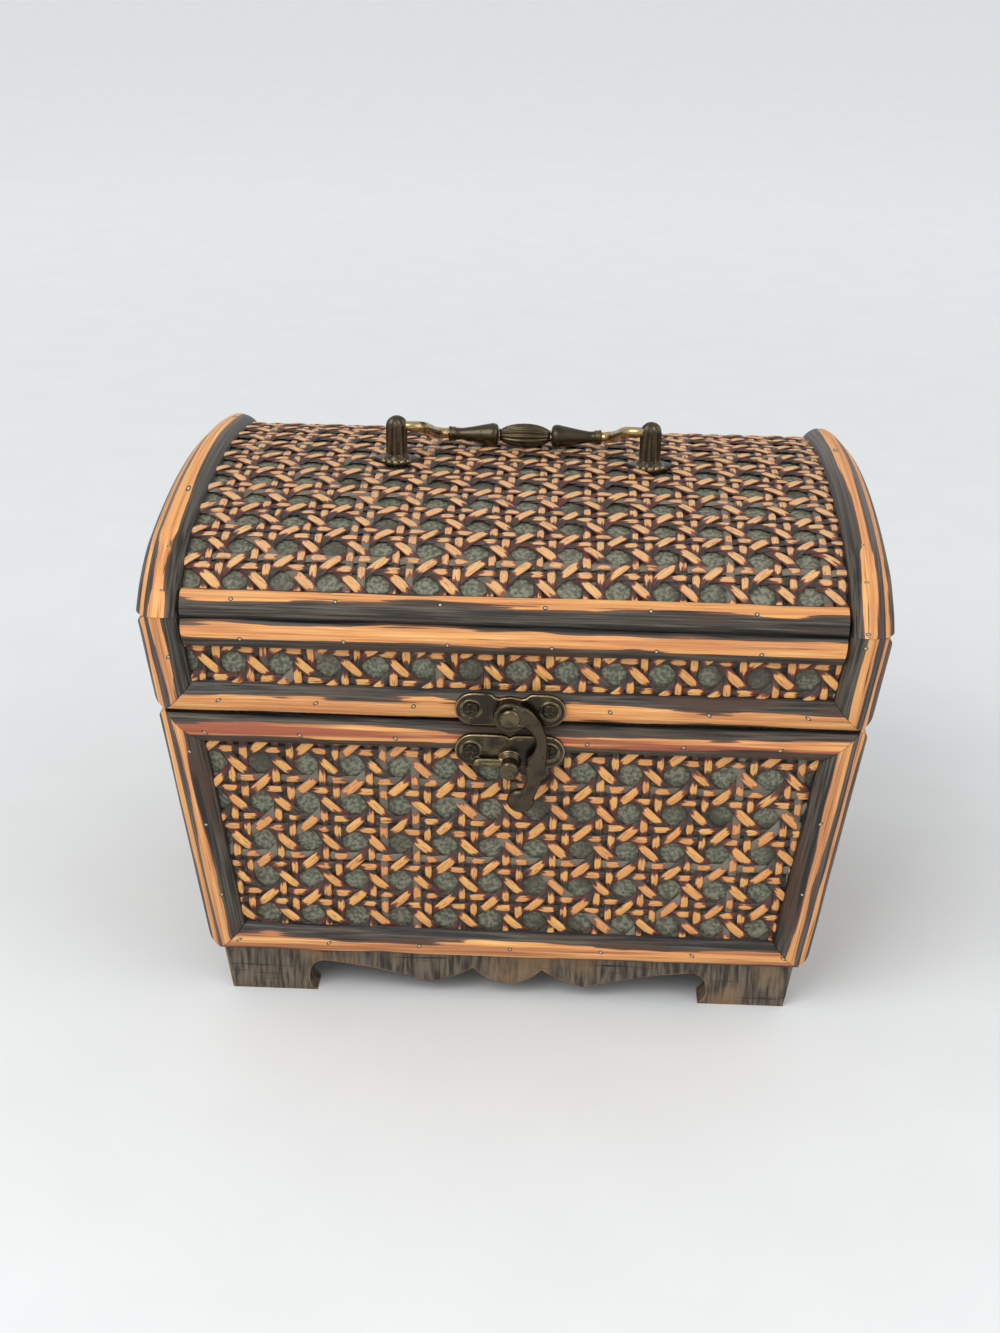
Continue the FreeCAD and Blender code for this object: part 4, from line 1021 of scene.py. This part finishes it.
# Bail handle: fluted posts on leaf plates, and a turned bail that lies back on the crown.
bail = {
    "spacing": 74.0,
    "postRadius": 3.2,
    "postHeight": 13.55,
    "pivotRise": 10.4,
    "pin": 4.6,
    "rod": 1.45,
    "reach": 18.0,
    "bend": 4.5,
    "turn": math.radians(80),
    "restGap": 0.4,
    "beadRadius": 3.6,
}
caneTop = crownTop + caneThickness
for side, way in (("left", -1), ("right", 1)):
    foot = (np.array([way * bail["spacing"] / 2, 0, caneTop]), *np.eye(3))
    shape = newShape()
    leaf = []
    for turn in np.linspace(0, 2 * math.pi, 64, endpoint=False):
        c, s = math.cos(turn), math.sin(turn)
        power = 1.12
        radius = (abs(c / 7.9) ** power + abs(s / 5.9) ** power) ** (-1 / power)
        leaf.append((radius * c, radius * s))
    addCast(shape, foot, leaf, -0.25, 0.95, 0.6)
    for x, y, radius in ((0, -5.0, 0.95), (1.9, -4.1, 0.8), (-1.9, -4.1, 0.8), (3.6, -2.9, 0.7), (-3.6, -2.9, 0.7),
                         (0, 5.0, 0.95), (1.9, 4.1, 0.8), (-1.9, 4.1, 0.8)):
        ball = [(radius * math.cos(a), radius * math.sin(a)) for a in np.radians((-60, -30, 0, 30, 60, 85))]
        addTurned(shape, shiftFrame(foot, x, y, 0.7), ball, sides=14, rub=0.5)
    top = bail["postHeight"] - bail["postRadius"]
    profile = [(3.9, 0.5), (3.9, 1.1), (3.5, 1.6), (3.2, 2.2, 0.5), (3.2, top, 0.55)]
    for angle in (15, 30, 45, 60, 75, 88):
        turn = math.radians(angle)
        profile.append((bail["postRadius"] * math.cos(turn), top + bail["postRadius"] * math.sin(turn),
                        0.55 * math.cos(turn)))
    addTurned(shape, foot, profile, sides=72, flutes=9, rub=0.1)
    addTurned(shape, foot, [(1.5, -8.0), (1.5, 0.5)], sides=20)
    shapeObject(f"{side}_fluted_post", shape, "lid", [f"{side}_handle_post"])

pivotFromCentre = carcass["crownRadius"] + caneThickness + bail["pivotRise"]
gripFromCentre = carcass["crownRadius"] + caneThickness + bail["beadRadius"] + bail["restGap"]
restCosine = (pivotFromCentre ** 2 + bail["reach"] ** 2 - gripFromCentre ** 2) / (2 * pivotFromCentre * bail["reach"])
lie = math.acos(restCosine) - math.pi / 2
bailFrame = (np.array([0, 0, caneTop + bail["pivotRise"]]), np.array([1.0, 0, 0]),
             np.array([0, math.cos(lie), math.sin(lie)]), np.array([0, -math.sin(lie), math.cos(lie)]))
bendStart = bail["spacing"] / 2 - bail["postRadius"] - 0.3
sine, cosine = math.sin(bail["turn"]), math.cos(bail["turn"])
straight = (bail["reach"] - 2 * bail["bend"] * (1 - cosine)) / sine
gripStart = bendStart - 2 * bail["bend"] * sine - straight * cosine
shape = newShape()
for way in (-1, 1):
    path = [(bail["spacing"] / 2 - bail["postRadius"] + bail["pin"], 0.0, 0.0), (bendStart + 0.4, 0.0, 0.0)]
    angles = np.linspace(0, bail["turn"], 9)
    path += [(bendStart - bail["bend"] * math.sin(a), bail["bend"] * (1 - math.cos(a)), a) for a in angles]
    path += [(gripStart + bail["bend"] * math.sin(a), bail["reach"] - bail["bend"] * (1 - math.cos(a)), a)
             for a in angles[::-1]]
    path.append((gripStart - 1.6, bail["reach"], 0.0))
    turns = np.linspace(0, 2 * math.pi, 20, endpoint=False)
    rings = []
    for i, (x, y, heading) in enumerate(path):
        radius = bail["rod"] + 0.3 * math.sin(math.pi * i / (len(path) - 1)) ** 2 * (1 if i > 1 else 0)
        across = np.array([math.sin(heading) * way, math.cos(heading), 0])
        ring = np.array([way * x, y, 0]) + radius * (np.cos(turns)[:, None] * across + np.sin(turns)[:, None] * [0, 0, 1])
        rings.append(onFrame(bailFrame, ring))
    addRings(shape, rings, rub=0.95)
gripFrame = (onFrame(bailFrame, (0, bail["reach"], 0)), bailFrame[2], bailFrame[3], bailFrame[1])
half = [(1.5, gripStart + 0.2), (2.2, gripStart), (2.3, gripStart - 0.5), (2.0, gripStart - 1.0), (2.25, gripStart - 1.5),
        (1.85, gripStart - 2.0), (1.7, gripStart - 2.6), (1.75, gripStart - 3.6), (2.2, gripStart - 6.5),
        (2.75, gripStart - 9.2), (3.2, gripStart - 11.4), (3.45, 10.2), (3.5, 9.4), (3.3, 8.6), (2.8, 8.1), (2.0, 7.9)]
for way in (-1, 1):
    addTurned(shape, gripFrame, [(radius, way * x) for radius, x in half], sides=36, rub=0.08)
bead = []
for x in np.linspace(-7.6, 7.6, 17):
    radius = bail["beadRadius"] * math.sqrt(max(0.0, 1 - (x / 8.3) ** 2))
    bead.append((radius, x, 0.42 * min(1.0, (7.6 - abs(x)) / 2.2)))
addTurned(shape, gripFrame, bead, sides=112, flutes=14, rub=0.12)
shapeObject("turned_bail", shape, "bail", ["handle_bail"])
print("handle turned")

# Butt hinges on the back: two rolled leaves each, a pin with ball ends, and screws.
hinge = {"spacing": 110.0, "width": 22.0, "height": 9.5, "thick": 1.0, "knuckle": 1.8, "rise": 0.6}
backFrame = shiftFrame(faceFrame("back", carcass["partingHeight"], caneThickness), 0, 0, 3.2)
leafShapes = {body: newShape() for body in ("base", "lid")}
screwShapes = {body: newShape() for body in ("base", "lid")}
pins = newShape()
halfWide = hinge["width"] / 2
for way in (-1, 1):
    frameOf = shiftFrame(backFrame, way * hinge["spacing"] / 2, 0.15, 0)
    _, run, slope, normal = frameOf
    low, room = -hinge["height"], -2.05
    baseLeaf = [(-halfWide, low + 1), (-halfWide + 1, low), (halfWide - 1, low), (halfWide, low + 1), (halfWide, 0),
                (4.2, 0), (4.2, room), (-4.2, room), (-4.2, 0), (-halfWide, 0)]
    lidLeaf = [(-4.0, 0), (4.0, 0), (4.0, -room), (halfWide, -room), (halfWide, -low - 1), (halfWide - 1, -low),
               (-halfWide + 1, -low), (-halfWide, -low - 1), (-halfWide, -room), (-4.0, -room)]
    for body, outline in (("base", baseLeaf), ("lid", lidLeaf)):
        addCast(leafShapes[body], frameOf, outline, 0.0, hinge["thick"], 0.25)
    for body, start, length in (("base", -halfWide, 6.8), ("base", halfWide - 6.8, 6.8), ("lid", -4.0, 8.0)):
        barrel = (onFrame(frameOf, (start, 0, hinge["rise"])), slope, normal, run)
        addTurned(leafShapes[body], barrel, [(0.8, 0.0), (1.6, 0.0), (hinge["knuckle"], 0.2),
                                             (hinge["knuckle"], length - 0.2), (1.6, length), (0.8, length)])
    barrel = (onFrame(frameOf, (-halfWide, 0, hinge["rise"])), slope, normal, run)
    addTurned(pins, barrel, [(0.2, -0.6), (0.8, -0.55), (1.15, -0.2), (1.2, 0.0), (0.75, 0.0), (0.75, 22.0), (1.2, 22.0),
                             (1.15, 22.2), (0.8, 22.55), (0.2, 22.6)], rub=0.3)
    for body, rise in (("base", -4.9), ("lid", 4.9)):
        for hand in (-1, 1):
            addScrew(screwShapes[body], shiftFrame(frameOf, hand * 6.5, rise, hinge["thick"]), 1.7, 0.8, 6.5)
for body in ("base", "lid"):
    shapeObject(f"hinge_{body}_rolled_leaves", leafShapes[body], body, [f"hinge_{body}_leaves"])
    shapeObject(f"hinge_{body}_screw_heads", screwShapes[body], body, [f"hinge_{body}_screws"])
shapeObject("hinge_ball_pins", pins, "base", ["hinge_pins"])
print("hinges made")

# Plinth boards with bracket feet and a scalloped apron, as x and height from the middle to the heel of a foot.
plinth = {
    "thick": 8.0,
    "footFront": 25.0,
    "footSide": 22.0,
    "notch": 10.6,
    "hook": 2.2,
}


def throughThree(a, b, c, steps):
    # a smooth curve through three points, without its last one
    a, b, c = (np.array(p, float) for p in (a, b, c))
    split = np.linalg.norm(b - a) / (np.linalg.norm(b - a) + np.linalg.norm(c - b))
    rows = []
    for t in np.linspace(0, 1, steps, endpoint=False):
        rows.append(a * (t - split) * (t - 1) / split + b * t * (t - 1) / (split * (split - 1))
                    + c * t * (t - split) / (1 - split))
    return rows


def apronEdge(foot):
    rise, hook = plinth["notch"], plinth["hook"]
    centre, cusp, scallop, notch = (0, 4.8), (10.0, 10.2), (22.5, 4.4), (foot - 5.0, rise)
    brow = ((scallop[0] + notch[0]) / 2, (scallop[1] + notch[1]) / 2 + 0.8)
    bulge = (foot + hook, rise * 0.55)
    rows = throughThree(centre, (5.6, 6.4), cusp, 8) + throughThree(cusp, (16.0, 6.7), scallop, 10)
    rows += throughThree(scallop, brow, notch, 12)
    rows += throughThree(notch, (foot + hook * 0.35, rise * 0.9), bulge, 8)
    rows += throughThree(bulge, (foot + hook * 0.85, rise * 0.22), (foot, 0), 6)
    return rows + [np.array([foot, 0.0])]


for side in longSides + shortSides:
    long = side in longSides
    reach = halfWidth if long else halfDepth
    inset = 0.0 if long else plinth["thick"]
    foot = reach(0) - plinth["footFront" if long else "footSide"]
    edge = apronEdge(foot)
    top = carcass["plinthHeight"]
    flat = [(-p[0], p[1]) for p in edge[:0:-1]] + [tuple(p) for p in edge]
    flat += [(reach(0) - inset, 0.0), (reach(top) - inset, top), (-(reach(top) - inset), top), (-(reach(0) - inset), 0.0)]
    shape = newShape()
    rings = []
    for depth in (0.0, plinth["thick"]):
        ring = []
        for u, z in flat:
            if long:
                way = -1 if side == "front" else 1
                ring.append(np.array([u, way * (halfDepth(z) - depth), z]))
            else:
                way = -1 if side == "left" else 1
                ring.append(np.array([way * (halfWidth(z) - depth), u, z]))
        rings.append(ring)
    addRings(shape, rings)
    shapeObject(f"sawn_plinth_{side}", shape, "base", [f"plinth_{side}"], plinthFinish)
print("plinth sawn")

# CAD pieces whose shape is right keep it and take their finish.
finishOf = {
    "box_boards": boardFinish,
    "plinth_wood": plinthFinish,
    "bronze": bronzeFinish,
    "woven_cane": caneFinish,
    "split_bamboo": stripFinish,
}
slotOf = {entry["node"]: entry["material_slot"] for entry in frame["record"]["subparts"]}
for name, piece in frame["nodes"].items():
    finish = finishOf[slotOf[name]]
    for slot in piece.material_slots:
        slot.material = finish
print("frame finished")

# The table, the light and the camera.
stage = {
    "size": 12.0,
    "keyPower": 9.0,
    "keyPlace": (-0.55, -0.75, 1.05),
    "keySize": 0.9,
    "fillPower": 3.0,
    "fillPlace": (0.9, -0.5, 0.7),
    "worldLevel": 0.72,
    "farLift": 0.15,
}


def makeFloorFinish():
    material = newMaterial("paleTable")
    tree = material.node_tree
    where = addNode(tree, "ShaderNodeTexCoord").outputs["Object"]
    closeMaterial(material, mixColour(noiseNode(where, 30.0, 3.0), rgb(226, 228, 228), rgb(233, 235, 235)), 0.85)
    # away from the lamps the table stays white for the lens alone
    away = addNode(tree, "ShaderNodeVectorMath", {0: where}, operation="LENGTH")
    lift = times(stepNode(away.outputs["Value"], 0.15, 1.3), stage["farLift"])
    seen = addNode(tree, "ShaderNodeLightPath").outputs["Is Camera Ray"]
    glow = addNode(tree, "ShaderNodeEmission", {"Strength": times(lift, seen), "Color": (0.98, 0.99, 1.0, 1.0)})
    output = next(node for node in tree.nodes if node.bl_idname == "ShaderNodeOutputMaterial")
    both = addNode(tree, "ShaderNodeAddShader", {0: output.inputs[0].links[0].from_socket, 1: glow.outputs[0]})
    tree.links.new(both.outputs[0], output.inputs[0])
    return material


half = stage["size"] / 2
floorMesh = bpy.data.meshes.new("table")
floorMesh.from_pydata([(-half, -half, 0), (half, -half, 0), (half, half, 0), (-half, half, 0)], [], [(0, 1, 2, 3)])
floorMesh.materials.append(makeFloorFinish())
floor = bpy.data.objects.new("table", floorMesh)
bpy.context.scene.collection.objects.link(floor)


def addSoftLamp(name, place, size, power):
    lamp = bpy.data.lights.new(name, "AREA")
    lamp.size = size
    lamp.energy = power
    holder = bpy.data.objects.new(name, lamp)
    holder.location = place
    aim = Vector((0, 0, 0.07)) - Vector(place)
    holder.rotation_euler = aim.to_track_quat("-Z", "Y").to_euler()
    bpy.context.scene.collection.objects.link(holder)


addSoftLamp("keyLamp", stage["keyPlace"], stage["keySize"], stage["keyPower"])
addSoftLamp("fillLamp", stage["fillPlace"], stage["keySize"], stage["fillPower"])
world = bpy.data.worlds.new("room")
world.use_nodes = True
world.node_tree.nodes["Background"].inputs["Color"].default_value = (0.97, 0.98, 1.0, 1.0)
world.node_tree.nodes["Background"].inputs["Strength"].default_value = stage["worldLevel"]
bpy.context.scene.world = world

# The photograph's camera: turns in degrees and the box's origin seen from the lens, in millimetres.
shot = {
    "pitch": 24.032,
    "yaw": 2.182,
    "roll": 0.878,
    "offset": (4.726, -72.244, 615.14),
    "focalPixels": 1900.0,
    "imageWidth": 1000.0,
    "sensor": 36.0,
}
pitch, yaw, roll = (math.radians(shot[key]) for key in ("pitch", "yaw", "roll"))
tilt = Matrix(((1, 0, 0), (0, math.cos(pitch), math.sin(pitch)), (0, -math.sin(pitch), math.cos(pitch))))
spin = Matrix(((math.cos(yaw), math.sin(yaw), 0), (-math.sin(yaw), math.cos(yaw), 0), (0, 0, 1)))
bank = Matrix(((math.cos(roll), math.sin(roll), 0), (-math.sin(roll), math.cos(roll), 0), (0, 0, 1)))
swap = Matrix(((1, 0, 0), (0, 0, 1), (0, 1, 0)))
toLens = bank @ tilt @ swap @ spin
place = -(toLens.transposed() @ Vector(shot["offset"])) * mm
lens = bpy.data.cameras.new("camera")
lens.sensor_fit = "HORIZONTAL"
lens.sensor_width = shot["sensor"]
lens.lens = shot["focalPixels"] * shot["sensor"] / shot["imageWidth"]
lens.clip_start = 0.01
camera = bpy.data.objects.new("camera", lens)
turned = Matrix((toLens[0], toLens[1], -Vector(toLens[2]))).transposed()
camera.matrix_world = Matrix.Translation(place) @ turned.to_4x4()
bpy.context.scene.collection.objects.link(camera)
bpy.context.scene.camera = camera
bpy.context.scene.view_settings.view_transform = "Standard"
print("stage set")
